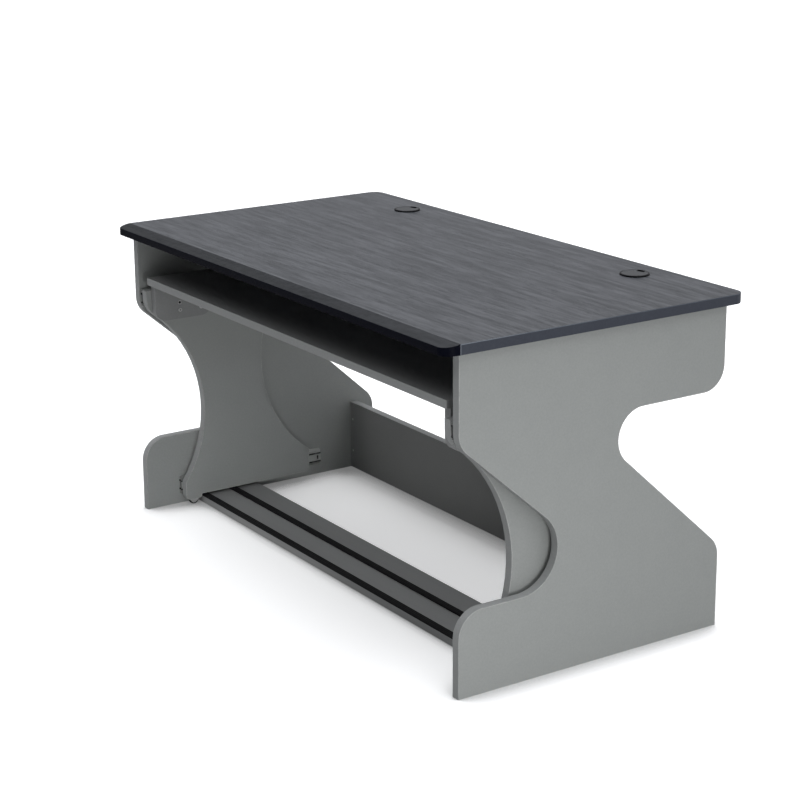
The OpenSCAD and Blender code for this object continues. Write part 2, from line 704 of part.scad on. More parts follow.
inner_cage_u = inner_ball[0] - cage_hole_d / 2 - cage_web_gap;
inner_cage_path = concat(
    bend([inner_cage_u + cage_bend_r, inner_ball[1] - cage_bend_r], cage_bend_r, 180, 90, 1),
    [[[inner_ball[0] + cage_hole_d / 2 + cage_lip, inner_ball[1]], [0, 1]]]);

// Runs a profile back from the slide's front end; the profile's first axis points to the carriage
module along_slide(start, l) {
    translate([panel_x, panel_y + start[0], start[1]]) rotate([90, 0, 180]) linear_extrude(l) children();
}
module web_holes(start, d) {
    for (y = slide_screw_spots)
        outwards(panel_x - slide_gap - past, panel_y + start[0] + y, start[1])
            cylinder(d = d, h = slide_gap + 2 * past);
}
module outer_member(start) difference() {
    along_slide(start, slide_l) polygon(sheet(outer_path, slide_wall));
    for (y = slide_screw_spots)
        outwards(panel_x - slide_wall, panel_y + start[0] + y, start[1])
            cylinder(d1 = head_d + 2 * play, d2 = countersink_d + 2 * play, h = slide_wall);
}
module middle_member(start) difference() {
    along_slide(start, slide_l) polygon(sheet(middle_path, slide_wall));
    web_holes(start, access_hole_d);
}
module inner_member(start) difference() {
    along_slide(start, slide_l) polygon(sheet(inner_path, slide_wall));
    web_holes(start, screw_d + 2 * play);
}
module right_upper_outer_slide() color("silver") outer_member(slide_starts[0]);
module right_lower_outer_slide() color("silver") outer_member(slide_starts[1]);
module left_upper_outer_slide() color("silver") mirror([1, 0, 0]) outer_member(slide_starts[0]);
module left_lower_outer_slide() color("silver") mirror([1, 0, 0]) outer_member(slide_starts[1]);
module right_upper_middle_slide() color("silver") middle_member(slide_starts[0]);
module right_lower_middle_slide() color("silver") middle_member(slide_starts[1]);
module left_upper_middle_slide() color("silver") mirror([1, 0, 0]) middle_member(slide_starts[0]);
module left_lower_middle_slide() color("silver") mirror([1, 0, 0]) middle_member(slide_starts[1]);
module right_upper_inner_slide() color("silver") inner_member(slide_starts[0]);
module right_lower_inner_slide() color("silver") inner_member(slide_starts[1]);
module left_upper_inner_slide() color("silver") mirror([1, 0, 0]) inner_member(slide_starts[0]);
module left_lower_inner_slide() color("silver") mirror([1, 0, 0]) inner_member(slide_starts[1]);

// Balls and cages: one cage between the outer and middle members, one between middle and inner
function ball_spots() = [for (i = [0 : ball_count - 1]) slide_l / 2 + (i - (ball_count - 1) / 2) * ball_pitch];
module at_balls(start, ball) {
    for (y = ball_spots(), side = [-1, 1])
        translate([panel_x - ball[0], panel_y + start[0] + y, start[1] + side * ball[1]]) children();
}
module ball_cage(start, path, ball) difference() {
    along_slide([start[0] + (slide_l - cage_l) / 2, start[1]], cage_l) polygon(sheet(path, cage_t));
    at_balls(start, ball) cylinder(d = cage_hole_d, h = cage_bore_l, center = true);
}
module outer_ball_cages() color("gainsboro") pair() for (s = slide_starts)
    ball_cage(s, outer_cage_path, outer_ball);
module inner_ball_cages() color("gainsboro") pair() for (s = slide_starts)
    ball_cage(s, inner_cage_path, inner_ball);
module outer_balls() color("white") pair() for (s = slide_starts) at_balls(s, outer_ball) sphere(d = ball_d);
module inner_balls() color("white") pair() for (s = slide_starts) at_balls(s, inner_ball) sphere(d = ball_d);

// Black nose in the front end of every inner member
nose_reach = inner_ball[1] - race_r - slide_wall - nose_gap;
module slide_noses() color("black") pair() for (s = slide_starts)
    board(panel_x - slide_gap + slide_wall, panel_y + s[0], s[1] - nose_reach,
        [slide_gap - 2 * slide_wall - inner_cage_u, nose_l, 2 * nose_reach]);

// Screws
module flat_screw() {
    cylinder(d1 = head_d, d2 = countersink_d, h = slide_wall);
    translate([0, 0, slide_wall - play]) cylinder(d = screw_d, h = screw_l - slide_wall + play);
}
module pan_screw() {
    translate([0, 0, -pan_head_h]) cylinder(d = head_d, h = pan_head_h);
    cylinder(d = screw_d, h = screw_l);
}
module outer_slide_screws() color("silver") pair() for (s = slide_starts, y = slide_screw_spots)
    outwards(panel_x - slide_wall, panel_y + s[0] + y, s[1]) flat_screw();
module inner_slide_screws() color("silver") pair() for (s = slide_starts, y = slide_screw_spots)
    translate([panel_x - slide_gap + slide_wall, panel_y + s[0] + y, s[1]]) rotate([0, -90, 0]) pan_screw();

// Brackets that hold the desktop on the side panels
module desktop_brackets() color("silver") pair() for (d = bracket_spots) difference() {
    translate([panel_x, panel_y + d - bracket_w / 2, panel_h]) rotate([-90, 0, 0]) linear_extrude(bracket_w)
        polygon([[0, 0], [-bracket_leg, 0], [-bracket_leg, bracket_t], [-bracket_t, bracket_t],
            [-bracket_t, bracket_leg], [0, bracket_leg]]);
    bracket_screw_axes(d) translate([0, 0, -past]) cylinder(d = screw_d + 2 * play, h = bracket_t + 2 * past);
}
module bracket_screw_axes(d) {
    mid = bracket_leg / 2 + bracket_t / 2;
    translate([panel_x - mid, panel_y + d, panel_h - bracket_t]) children();
    outwards(panel_x - bracket_t, panel_y + d, panel_h - mid) children();
}
module bracket_screws() color("silver") pair() for (d = bracket_spots) bracket_screw_axes(d) pan_screw();

// Dowels and cams
module joint_dowels() color("burlywood") pair() for (p = dowel_spots)
    outwards(panel_x - dowel_l + dowel_in_panel, p[0], p[1]) cylinder(d = dowel_d, h = dowel_l);
module back_panel_cams() color("silver") pair() for (z = cam_heights)
    translate([panel_x - cam_inset, back_panel_y, z]) rotate([-90, 0, 0]) cylinder(d = cam_d, h = cam_l);

// Wheels, each in a steel fork let into the carriage panel
module fork() difference() {
    union() {
        board(wheel_x - fork_w / 2, wheel_y - fork_l / 2, fork_top - fork_wall, [fork_w, fork_l, fork_wall]);
        for (x = [wheel_x - fork_w / 2, wheel_x + fork_w / 2 - fork_wall])
            upright(x, fork_wall) polygon(rounded([
                [wheel_y - fork_l / 2, fork_top, 0],
                [wheel_y - fork_l / 2, ear_bottom + fork_rise, fork_corner_r],
                [wheel_y - fork_tip_r, wheel_d / 2 - fork_tip_r, fork_tip_r - fork_tip_flat],
                [wheel_y + fork_tip_r, wheel_d / 2 - fork_tip_r, fork_tip_r - fork_tip_flat],
                [wheel_y + fork_l / 2, ear_bottom + fork_rise, fork_corner_r],
                [wheel_y + fork_l / 2, fork_top, 0]]));
    }
    outwards(wheel_x - fork_w, wheel_y, wheel_d / 2) cylinder(d = axle_d + 2 * play, h = 2 * fork_w);
}
module right_wheel_fork() color("silver") fork();
module left_wheel_fork() color("silver") mirror([1, 0, 0]) fork();
module axle() outwards(wheel_x - fork_w / 2, wheel_y, wheel_d / 2) cylinder(d = axle_d, h = fork_w);
module wheel_axles() color("silver") pair() axle();
module wheel_hub() outwards(wheel_x, wheel_y, wheel_d / 2) rotate_extrude() {
    bore_r = axle_d / 2 + play;
    boss_r = (hub_r + axle_d / 2) / 2;
    rim_r = hub_r - hub_rim;
    side = wheel_w / 2;
    polygon([
        [bore_r, -side], [boss_r - hub_boss_slope, -side], [boss_r, -side + hub_dish],
        [rim_r - hub_rim_slope, -side + hub_dish], [rim_r, -side], [hub_r, -side],
        [hub_r, side], [rim_r, side], [rim_r - hub_rim_slope, side - hub_dish],
        [boss_r, side - hub_dish], [boss_r - hub_boss_slope, side], [bore_r, side]]);
}
module tyre() outwards(wheel_x, wheel_y, wheel_d / 2) rotate_extrude()
    polygon(rounded([
        [hub_r + play, -wheel_w / 2, 0], [wheel_d / 2, -wheel_w / 2, tyre_edge_r],
        [wheel_d / 2, wheel_w / 2, tyre_edge_r], [hub_r + play, wheel_w / 2, 0]]));
module right_wheel_hub() color("lightgray") wheel_hub();
module left_wheel_hub() color("lightgray") mirror([1, 0, 0]) wheel_hub();
module right_wheel_tyre() color("black") tyre();
module left_wheel_tyre() color("black") mirror([1, 0, 0]) tyre();

// Cable ports: a liner in the desktop, and a dished cap that turns in it
module liner() translate([port_x, port_y, desk_h]) rotate_extrude() polygon([
    [liner_bore_r, -liner_l], [liner_r, -liner_l], [liner_r, -flange_seat], [flange_d / 2, -flange_seat],
    [flange_d / 2, flange_h - flange_crown], [flange_d / 2 - flange_edge, flange_h - flange_edge],
    [flange_d / 2 - flange_crown, flange_h], [cap_r + running_gap, flange_h],
    [cap_r + running_gap, cap_seat_h], [liner_bore_r, cap_seat_h]]);
module cap() translate([port_x, port_y, desk_h]) difference() {
    skirt_r = liner_bore_r - running_gap;
    floor_z = cap_seat_h + cap_play;
    dish_z = flange_h - cap_dish;
    rim_r = cap_r - cap_rim;
    rotate_extrude() polygon([
        [0, floor_z], [skirt_r - skirt_wall, floor_z], [skirt_r - skirt_wall, floor_z - skirt_l],
        [skirt_r, floor_z - skirt_l], [skirt_r, floor_z], [cap_r, floor_z], [cap_r, flange_h - cap_edge],
        [cap_r - cap_edge, flange_h], [rim_r, flange_h], [rim_r - cap_slope, dish_z], [0, dish_z]]);
    rotate([0, 0, slot_angle]) translate([cap_r - slot_w, -slot_l / 2, floor_z - skirt_l - past])
        cube([slot_w + past, slot_l, skirt_l + flange_h + 2 * past]);
}
module right_grommet_liner() color("black") liner();
module left_grommet_liner() color("black") mirror([1, 0, 0]) liner();
module right_grommet_cap() color("dimgray") cap();
module left_grommet_cap() color("dimgray") translate([-2 * port_x, 0, 0]) cap();

desktop();
front_edge_band();
side_edge_band();
left_side_panel();
right_side_panel();
left_side_panel_edging();
right_side_panel_edging();
back_panel();
back_panel_edging();
stretcher_rail();
pedal_board();
front_tread_strip();
rear_tread_strip();
left_grommet_liner();
right_grommet_liner();
left_grommet_cap();
right_grommet_cap();
desktop_brackets();
bracket_screws();
joint_dowels();
back_panel_cams();
left_upper_outer_slide();
left_lower_outer_slide();
right_upper_outer_slide();
right_lower_outer_slide();
outer_slide_screws();
left_upper_middle_slide();
left_lower_middle_slide();
right_upper_middle_slide();
right_lower_middle_slide();
left_upper_inner_slide();
left_lower_inner_slide();
right_upper_inner_slide();
right_lower_inner_slide();
inner_slide_screws();
slide_noses();
outer_ball_cages();
outer_balls();
inner_ball_cages();
inner_balls();
left_carriage_panel();
right_carriage_panel();
left_carriage_panel_edging();
right_carriage_panel_edging();
keyboard_shelf();
keyboard_shelf_edging();
left_shelf_cheek();
right_shelf_cheek();
shelf_dowels();
cheek_bolts();
cheek_bushes();
left_wheel_fork();
right_wheel_fork();
wheel_axles();
left_wheel_hub();
right_wheel_hub();
left_wheel_tyre();
right_wheel_tyre();
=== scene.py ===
"""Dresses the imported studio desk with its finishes, and sets its camera, light and floor.

Lengths are in metres and angles in degrees.
"""

from __future__ import annotations

import json
import logging
import math
from dataclasses import dataclass
from enum import Enum
from typing import ClassVar, Mapping, Optional, Sequence, Union

import bmesh
import bpy
from mathutils import Matrix, Vector

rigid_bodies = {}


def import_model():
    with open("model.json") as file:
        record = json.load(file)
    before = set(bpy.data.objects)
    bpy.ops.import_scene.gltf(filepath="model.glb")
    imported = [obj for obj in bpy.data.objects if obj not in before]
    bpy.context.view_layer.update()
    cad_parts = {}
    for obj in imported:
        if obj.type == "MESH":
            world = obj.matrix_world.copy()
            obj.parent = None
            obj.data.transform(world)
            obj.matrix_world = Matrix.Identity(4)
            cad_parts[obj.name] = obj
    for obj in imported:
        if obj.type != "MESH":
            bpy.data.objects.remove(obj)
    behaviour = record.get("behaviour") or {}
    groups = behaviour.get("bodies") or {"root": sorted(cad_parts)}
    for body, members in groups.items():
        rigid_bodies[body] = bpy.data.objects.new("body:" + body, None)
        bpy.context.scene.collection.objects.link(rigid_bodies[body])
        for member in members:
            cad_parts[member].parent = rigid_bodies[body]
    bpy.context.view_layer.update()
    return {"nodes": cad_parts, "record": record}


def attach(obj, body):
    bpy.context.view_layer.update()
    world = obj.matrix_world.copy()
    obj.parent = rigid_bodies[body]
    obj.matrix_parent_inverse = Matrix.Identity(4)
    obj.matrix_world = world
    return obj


LOG = logging.getLogger("studio_desk")

Colour = tuple[float, float, float]
Opaque = tuple[float, float, float, float]
Place = tuple[float, float, float]
Range = tuple[float, float]
Names = tuple[str, ...]
Socket = bpy.types.NodeSocket
Value = Union[float, Sequence[float], Socket]
Given = Mapping[str, Socket]

NONE_TO_ALL: Range = (0.0, 1.0)
ALL_TO_NONE: Range = (1.0, 0.0)
WHITE: Opaque = (1.0, 1.0, 1.0, 1.0)
SKY_TONE: Opaque = (0.97, 0.98, 1.0, 1.0)
DUST_TONE: Opaque = (0.35, 0.36, 0.38, 1.0)
# Grease and painted shade in the slides' grooves and slot
GREASE_SHADE_TONE: Opaque = (0.004, 0.004, 0.003, 1.0)
# Painted shade in holes and sockets
RECESS_SHADE_TONE: Opaque = (0.006, 0.006, 0.006, 1.0)

# Where the finishes find the desk's own lines
DESKTOP_TOP = 0.750
BAND_SEAM_Y = -0.35275
UPPER_SLIDE_Z = 0.5625
LOWER_SLIDE_Z = 0.051
SLIDE_SLOT_Y = 0.1585


class Side(Enum):
    """A side of the desk, with the sign that x has there."""

    LEFT = -1.0
    RIGHT = 1.0

    @property
    def label(self) -> str:
        """Returns the side's word in the names of pieces."""
        return self.name.lower()


@dataclass(frozen=True)
class Noise:
    """Smooth noise: its features for each unit of scale or each metre, its detail and its distortion."""

    pitch: float
    detail: float
    distortion: float = 0.0


@dataclass(frozen=True)
class Patches:
    """Uneven patches: their noise, the span of it that counts, and the cover at the span's ends."""

    noise: Noise
    span: Range
    cover: Range


class Graph:
    """A shader tree that is filled one node at a time."""

    def __init__(self, tree: bpy.types.NodeTree) -> None:
        """Empties the tree.

        Args:
            tree: the tree to fill.
        """
        self.tree = tree
        self.tree.nodes.clear()

    def add(self, kind: str, inputs: Mapping[Union[str, int], Value], **settings: object) -> bpy.types.Node:
        """Adds a node.

        Args:
            kind: the node's type.
            inputs: for each socket's name or number, a constant or the socket that feeds it.
            settings: the node's own settings.

        Returns:
            The new node.
        """
        node = self.tree.nodes.new(kind)
        for name, setting in settings.items():
            setattr(node, name, setting)
        for key, value in inputs.items():
            socket = node.inputs[key]
            if isinstance(value, Socket):
                self.tree.links.new(value, socket)
            else:
                socket.default_value = value
        return node

    def math(self, operation: str, first: Value, second: Value = 0.0) -> Socket:
        """Returns the result of an operation on two values."""
        return self.add("ShaderNodeMath", {0: first, 1: second}, operation=operation).outputs[0]

    def mix(self, first: Value, second: Value, share: Value) -> Socket:
        """Returns the colour that lies a share of the way from the first to the second."""
        inputs = {0: share, 6: first, 7: second}
        return self.add("ShaderNodeMix", inputs, data_type="RGBA").outputs[2]

    def between(self, value: Value, source: Range, target: tuple[Value, Value]) -> Socket:
        """Carries a value from one range to another.

        Args:
            value: the value to carry over.
            source: the range it comes from; it stops at its ends.
            target: the range it goes to.

        Returns:
            The value in the target range.
        """
        inputs = {"Value": value, 1: source[0], 2: source[1], 3: target[0], 4: target[1]}
        return self.add("ShaderNodeMapRange", inputs).outputs[0]

    def blend(self, parts: Sequence[tuple[Socket, float]]) -> Socket:
        """Adds values up by their shares.

        Args:
            parts: each value, and the share of it that counts.

        Returns:
            The sum of the values times their shares.
        """
        total = self.math("MULTIPLY", *parts[0])
        for value, share in parts[1:]:
            total = self.math("ADD", total, self.math("MULTIPLY", value, share))
        return total

    def noise(self, vector: Value, noise: Noise, scale: Optional[Socket] = None) -> Socket:
        """Draws smooth noise.

        Args:
            vector: the point.
            noise: the noise's own values.
            scale: what multiplies its pitch, where the material sets that.

        Returns:
            A value from 0 to 1.
        """
        pitch = noise.pitch if scale is None else self.math("MULTIPLY", scale, noise.pitch)
        inputs = {"Vector": vector, "Scale": pitch, "Detail": noise.detail, "Distortion": noise.distortion}
        return self.add("ShaderNodeTexNoise", inputs).outputs[0]

    def patches(self, vector: Value, patches: Patches) -> Socket:
        """Returns how far uneven patches cover a point."""
        return self.between(self.noise(vector, patches.noise), patches.span, patches.cover)

    def scaled(self, vector: Value, factors: Value) -> Socket:
        """Returns a vector times another, axis by axis."""
        return self.add("ShaderNodeVectorMath", {0: vector, 1: factors}, operation="MULTIPLY").outputs[0]

    def axes(self, vector: Value) -> Sequence[Socket]:
        """Returns a vector's x, y and z."""
        return self.add("ShaderNodeSeparateXYZ", {0: vector}).outputs


@dataclass(frozen=True)
class Effect:
    """A shader node group that several materials share."""

    name: str
    inputs: tuple[tuple[str, str], ...]
    outputs: tuple[tuple[str, str], ...]

    def group(self) -> bpy.types.NodeTree:
        """Builds the group on first use.

        Returns:
            The group's tree.
        """
        found = bpy.data.node_groups.get(self.name)
        if found is not None:
            return found
        tree = bpy.data.node_groups.new(self.name, "ShaderNodeTree")
        for in_out, sockets in (("INPUT", self.inputs), ("OUTPUT", self.outputs)):
            for name, kind in sockets:
                tree.interface.new_socket(name=name, in_out=in_out, socket_type=f"NodeSocket{kind}")
        graph = Graph(tree)
        start = graph.add("NodeGroupInput", {})
        results = self.draw(graph, {name: start.outputs[name] for name, _ in self.inputs})
        graph.add("NodeGroupOutput", results)
        return tree

    def draw(self, graph: Graph, given: Given) -> dict[str, Socket]:
        """Draws the inside of the group.

        Args:
            graph: the group's graph.
            given: the group's inputs by name.

        Returns:
            What feeds each output, by name.
        """
        raise NotImplementedError

    def place(self, graph: Graph, values: Mapping[str, Value]) -> Mapping[str, Socket]:
        """Places the group in a material with its own values.

        Args:
            graph: the material's graph.
            values: a constant or socket for each input.

        Returns:
            The group's outputs by name.
        """
        return graph.add("ShaderNodeGroup", values, node_tree=self.group()).outputs


class WoodGrain(Effect):
    """Streaks and pores that run along the first axis."""

    BANDS: ClassVar[Noise] = Noise(2.6, 1.0, 0.6)
    BAND_SHARE: ClassVar[float] = 0.34
    STREAKS: ClassVar[Noise] = Noise(7.0, 1.0, 0.4)
    STREAK_SHARE: ClassVar[float] = 0.38
    FIBRES: ClassVar[Noise] = Noise(17.0, 2.0, 0.8)
    FIBRE_SHARE: ClassVar[float] = 0.28
    FIBRE_RISE: ClassVar[float] = 0.5
    PORES: ClassVar[Noise] = Noise(17.0, 2.0, 0.2)
    PORE_SPAN: ClassVar[Range] = (0.60, 0.70)
    PORE_DEPTH: ClassVar[float] = 0.8
    TONE_SPAN: ClassVar[Range] = (0.40, 0.60)

    def draw(self, graph: Graph, given: Given) -> dict[str, Socket]:
        """Draws broad bands, streaks and fibres between them, and short dark pores.

        Args:
            graph: the group's graph.
            given: the group's inputs by name.

        Returns:
            What feeds each output, by name.
        """
        shrink = graph.math("DIVIDE", 1.0, given["Stretch"])
        squeeze = graph.add("ShaderNodeCombineXYZ", {0: shrink, 1: 1.0, 2: 1.0}).outputs[0]
        along = graph.scaled(given["Vector"], squeeze)
        scale = given["Scale"]
        bands = graph.noise(along, self.BANDS, scale)
        streaks = graph.noise(along, self.STREAKS, scale)
        fibres = graph.noise(along, self.FIBRES, scale)
        pores = graph.noise(along, self.PORES, scale)
        shares = [(bands, self.BAND_SHARE), (streaks, self.STREAK_SHARE), (fibres, self.FIBRE_SHARE)]
        tone = graph.between(graph.blend(shares), self.TONE_SPAN, NONE_TO_ALL)
        pore = graph.between(pores, self.PORE_SPAN, NONE_TO_ALL)
        rise = graph.math("MULTIPLY", fibres, self.FIBRE_RISE)
        height = graph.math("SUBTRACT", rise, graph.math("MULTIPLY", pore, self.PORE_DEPTH))
        return {"Tone": tone, "Pores": pore, "Height": height}


class FineSpeckle(Effect):
    """The close, even texture of melamine and moulded plastic."""

    PEBBLE: ClassVar[Noise] = Noise(1.0, 3.0)
    PEBBLE_SHARE: ClassVar[float] = 0.25
    FLECK: ClassVar[Noise] = Noise(0.32, 1.0)
    FLECK_SHARE: ClassVar[float] = 0.5
    CLOUD: ClassVar[Noise] = Noise(0.03, 3.0)
    CLOUD_SHARE: ClassVar[float] = 0.25
    TONE_SPAN: ClassVar[Range] = (0.28, 0.72)

    def draw(self, graph: Graph, given: Given) -> dict[str, Socket]:
        """Draws a fine pebble, larger flecks, and slow, cloudy changes of tone.

        Args:
            graph: the group's graph.
            given: the group's inputs by name.

        Returns:
            What feeds each output, by name.
        """
        vector = given["Vector"]
        scale = given["Scale"]
        pebble = graph.noise(vector, self.PEBBLE, scale)
        fleck = graph.noise(vector, self.FLECK, scale)
        cloud = graph.noise(vector, self.CLOUD, scale)
        shares = [(pebble, self.PEBBLE_SHARE), (cloud, self.CLOUD_SHARE), (fleck, self.FLECK_SHARE)]
        tone = graph.between(graph.blend(shares), self.TONE_SPAN, NONE_TO_ALL)
        return {"Tone": tone, "Height": pebble}


class WornArris(Effect):
    """A painted highlight along the sharp edges of a piece, broken up by noise."""

    SAMPLES: ClassVar[int] = 4
    TURN: ClassVar[Range] = (0.992, 0.90)
    BREAKS: ClassVar[Patches] = Patches(Noise(60.0, 4.0), (0.35, 0.65), (0.25, 1.0))

    def draw(self, graph: Graph, given: Given) -> dict[str, Socket]:
        """Draws the painted highlight where a rounded normal turns away from the true one, broken up by
        noise.

        Args:
            graph: the group's graph.
            given: the group's inputs by name.

        Returns:
            What feeds each output, by name.
        """
        rounded = graph.add("ShaderNodeBevel", {"Radius": given["Width"]}, samples=self.SAMPLES)
        plain = graph.add("ShaderNodeNewGeometry", {})
        normals = {0: rounded.outputs[0], 1: plain.outputs["Normal"]}
        likeness = graph.add("ShaderNodeVectorMath", normals, operation="DOT_PRODUCT").outputs["Value"]
        edge = graph.between(likeness, self.TURN, NONE_TO_ALL)
        return {"Mask": graph.math("MULTIPLY", edge, graph.patches(given["Vector"], self.BREAKS))}


class FrontSlope(Effect):
    """A mask of painted shade on what leans towards the front, such as a worktop's bevel."""

    LEAN: ClassVar[Range] = (0.05, 0.12)
    COVER: ClassVar[Range] = (0.0, 1.25)
    CLOUD: ClassVar[Noise] = Noise(60.0, 3.0)
    CLOUD_SHARE: ClassVar[float] = 0.5
    FADE_X: ClassVar[Range] = (0.2, 0.66)
    FADE: ClassVar[Range] = (1.0, 0.78)

    def draw(self, graph: Graph, given: Given) -> dict[str, Socket]:
        """Draws painted shade from the lean of the true normal, with an uneven border, weaker towards the
        right.

        Args:
            graph: the group's graph.
            given: the group's inputs by name.

        Returns:
            What feeds each output, by name.
        """
        normal = graph.add("ShaderNodeNewGeometry", {}).outputs["True Normal"]
        lean = graph.math("MULTIPLY", graph.axes(normal)[1], -1.0)
        cloud = graph.math("MULTIPLY", graph.noise(given["Vector"], self.CLOUD), self.CLOUD_SHARE)
        uneven = graph.math("SUBTRACT", graph.between(lean, self.LEAN, self.COVER), cloud)
        fade = graph.between(graph.axes(given["Vector"])[0], self.FADE_X, self.FADE)
        return {"Mask": graph.math("MULTIPLY", uneven, fade)}


class SettledDust(Effect):
    """A thin, patchy veil on what faces up."""

    UPWARD: ClassVar[Range] = (0.7, 1.0)
    VEIL: ClassVar[Patches] = Patches(Noise(7.0, 5.0), (0.35, 0.75), NONE_TO_ALL)

    def draw(self, graph: Graph, given: Given) -> dict[str, Socket]:
        """Draws the upward share of the normal, broken up by noise.

        Args:
            graph: the group's graph.
            given: the group's inputs by name.

        Returns:
            What feeds each output, by name.
        """
        normal = graph.add("ShaderNodeNewGeometry", {}).outputs["Normal"]
        facing = graph.between(graph.axes(normal)[2], self.UPWARD, NONE_TO_ALL)
        veil = graph.math("MULTIPLY", facing, graph.patches(given["Vector"], self.VEIL))
        return {"Mask": graph.math("MULTIPLY", veil, given["Amount"])}


class TrimmedEdge(Effect):
    """The pale marks that trimming leaves along the top of a band and at its front end."""

    TOP_LINE: ClassVar[Range] = (DESKTOP_TOP - 0.0020, DESKTOP_TOP - 0.0012)
    FADE_Y: ClassVar[Range] = (BAND_SEAM_Y, BAND_SEAM_Y + 0.45)
    FADE: ClassVar[Range] = (1.0, 0.30)
    END_LINE: ClassVar[Range] = (BAND_SEAM_Y + 0.0014, BAND_SEAM_Y + 0.0022)
    END_COVER: ClassVar[Range] = (0.7, 0.0)
    NICKS: ClassVar[Patches] = Patches(Noise(24.0, 4.0), (0.3, 0.6), (0.7, 1.0))

    def draw(self, graph: Graph, given: Given) -> dict[str, Socket]:
        """Draws a line under the band's top, weaker towards the back, and one at its end.

        Args:
            graph: the group's graph.
            given: the group's inputs by name.

        Returns:
            What feeds each output, by name.
        """
        _, y, z = graph.axes(given["Vector"])
        top = graph.between(z, self.TOP_LINE, NONE_TO_ALL)
        fading = graph.math("MULTIPLY", top, graph.between(y, self.FADE_Y, self.FADE))
        lines = graph.math("MAXIMUM", fading, graph.between(y, self.END_LINE, self.END_COVER))
        nicked = graph.math("MULTIPLY", lines, graph.patches(given["Vector"], self.NICKS))
        return {"Mask": graph.math("MULTIPLY", nicked, given["Amount"])}


class GroovedGrease(Effect):
    """Dark grease and painted shade in the grooves beside the web of a slide, and in the slot near its back
    end.
    """

    GROOVE_NEAR: ClassVar[Range] = (0.0086, 0.0092)
    GROOVE_FAR: ClassVar[Range] = (0.0134, 0.0140)
    SLOT_LENGTH: ClassVar[Range] = (0.0022, 0.0028)
    SLOT_HEIGHT: ClassVar[Range] = (0.0052, 0.0058)
    SMEARS: ClassVar[Patches] = Patches(Noise(90.0, 3.0), (0.3, 0.6), (0.7, 1.0))

    def draw(self, graph: Graph, given: Given) -> dict[str, Socket]:
        """Draws two lines at equal distances from the nearer slide's centre, and a short slot.

        Args:
            graph: the group's graph.
            given: the group's inputs by name.

        Returns:
            What feeds each output, by name.
        """
        _, y, z = graph.axes(given["Vector"])
        from_upper = graph.math("ABSOLUTE", graph.math("SUBTRACT", z, UPPER_SLIDE_Z))
        from_lower = graph.math("ABSOLUTE", graph.math("SUBTRACT", z, LOWER_SLIDE_Z))
        aside = graph.math("MINIMUM", from_upper, from_lower)
        near = graph.between(aside, self.GROOVE_NEAR, NONE_TO_ALL)
        groove = graph.math("MULTIPLY", near, graph.between(aside, self.GROOVE_FAR, ALL_TO_NONE))
        from_slot = graph.math("ABSOLUTE", graph.math("SUBTRACT", y, SLIDE_SLOT_Y))
        length = graph.between(from_slot, self.SLOT_LENGTH, ALL_TO_NONE)
        slot = graph.math("MULTIPLY", length, graph.between(aside, self.SLOT_HEIGHT, ALL_TO_NONE))
        smears = graph.patches(given["Vector"], self.SMEARS)
        return {"Mask": graph.math("MULTIPLY", graph.math("MAXIMUM", groove, slot), smears)}


class RecessGrime(Effect):
    """Painted shade in a piece's own holes and sockets."""

    REACH: ClassVar[float] = 0.012
    SAMPLES: ClassVar[int] = 8
    OPEN_SHARE: ClassVar[Range] = (0.35, 0.75)
    CRUMBS: ClassVar[Patches] = Patches(Noise(300.0, 2.0), (0.3, 0.6), (0.85, 1.0))

    def draw(self, graph: Graph, given: Given) -> dict[str, Socket]:
        """Draws painted shade where the piece's own walls shut it in, a little patchy.

        Args:
            graph: the group's graph.
            given: the group's inputs by name.

        Returns:
            What feeds each output, by name.
        """
        reach = {"Distance": self.REACH}
        walls = graph.add("ShaderNodeAmbientOcclusion", reach, samples=self.SAMPLES, only_local=True)
        shut = graph.between(walls.outputs["AO"], self.OPEN_SHARE, ALL_TO_NONE)
        return {"Mask": graph.math("MULTIPLY", shut, graph.patches(given["Vector"], self.CRUMBS))}


class DrawnLines(Effect):
    """The fine lines that rolling leaves along steel sheet."""

    SQUEEZE: ClassVar[tuple[float, float, float]] = (1.0, 0.03, 1.0)
    LINES: ClassVar[Noise] = Noise(1.0, 3.0)
    LINE_SHARE: ClassVar[float] = 0.6
    CLOUD: ClassVar[Noise] = Noise(45.0, 3.0)
    CLOUD_SHARE: ClassVar[float] = 0.4
    TONE_SPAN: ClassVar[Range] = (0.3, 0.7)

    def draw(self, graph: Graph, given: Given) -> dict[str, Socket]:
        """Draws noise that is stretched along y, and slow clouds of tone.

        Args:
            graph: the group's graph.
            given: the group's inputs by name.

        Returns:
            What feeds each output, by name.
        """
        along = graph.scaled(given["Vector"], self.SQUEEZE)
        lines = graph.noise(along, self.LINES, given["Scale"])
        cloud = graph.noise(given["Vector"], self.CLOUD)
        blend = graph.blend([(lines, self.LINE_SHARE), (cloud, self.CLOUD_SHARE)])
        return {"Tone": graph.between(blend, self.TONE_SPAN, NONE_TO_ALL), "Height": lines}


VECTOR = ("Vector", "Vector")
SCALE = ("Scale", "Float")
STRETCH = ("Stretch", "Float")
WIDTH = ("Width", "Float")
AMOUNT = ("Amount", "Float")
TONE = ("Tone", "Float")
PORES = ("Pores", "Float")
HEIGHT = ("Height", "Float")
MASK = ("Mask", "Float")
WOOD_GRAIN = WoodGrain("Wood grain", (VECTOR, SCALE, STRETCH), (TONE, PORES, HEIGHT))
FINE_SPECKLE = FineSpeckle("Fine speckle", (VECTOR, SCALE), (TONE, HEIGHT))
# Painted highlight along the sharp edges
ARRIS_HIGHLIGHT = WornArris("Worn arris", (VECTOR, WIDTH), (MASK,))
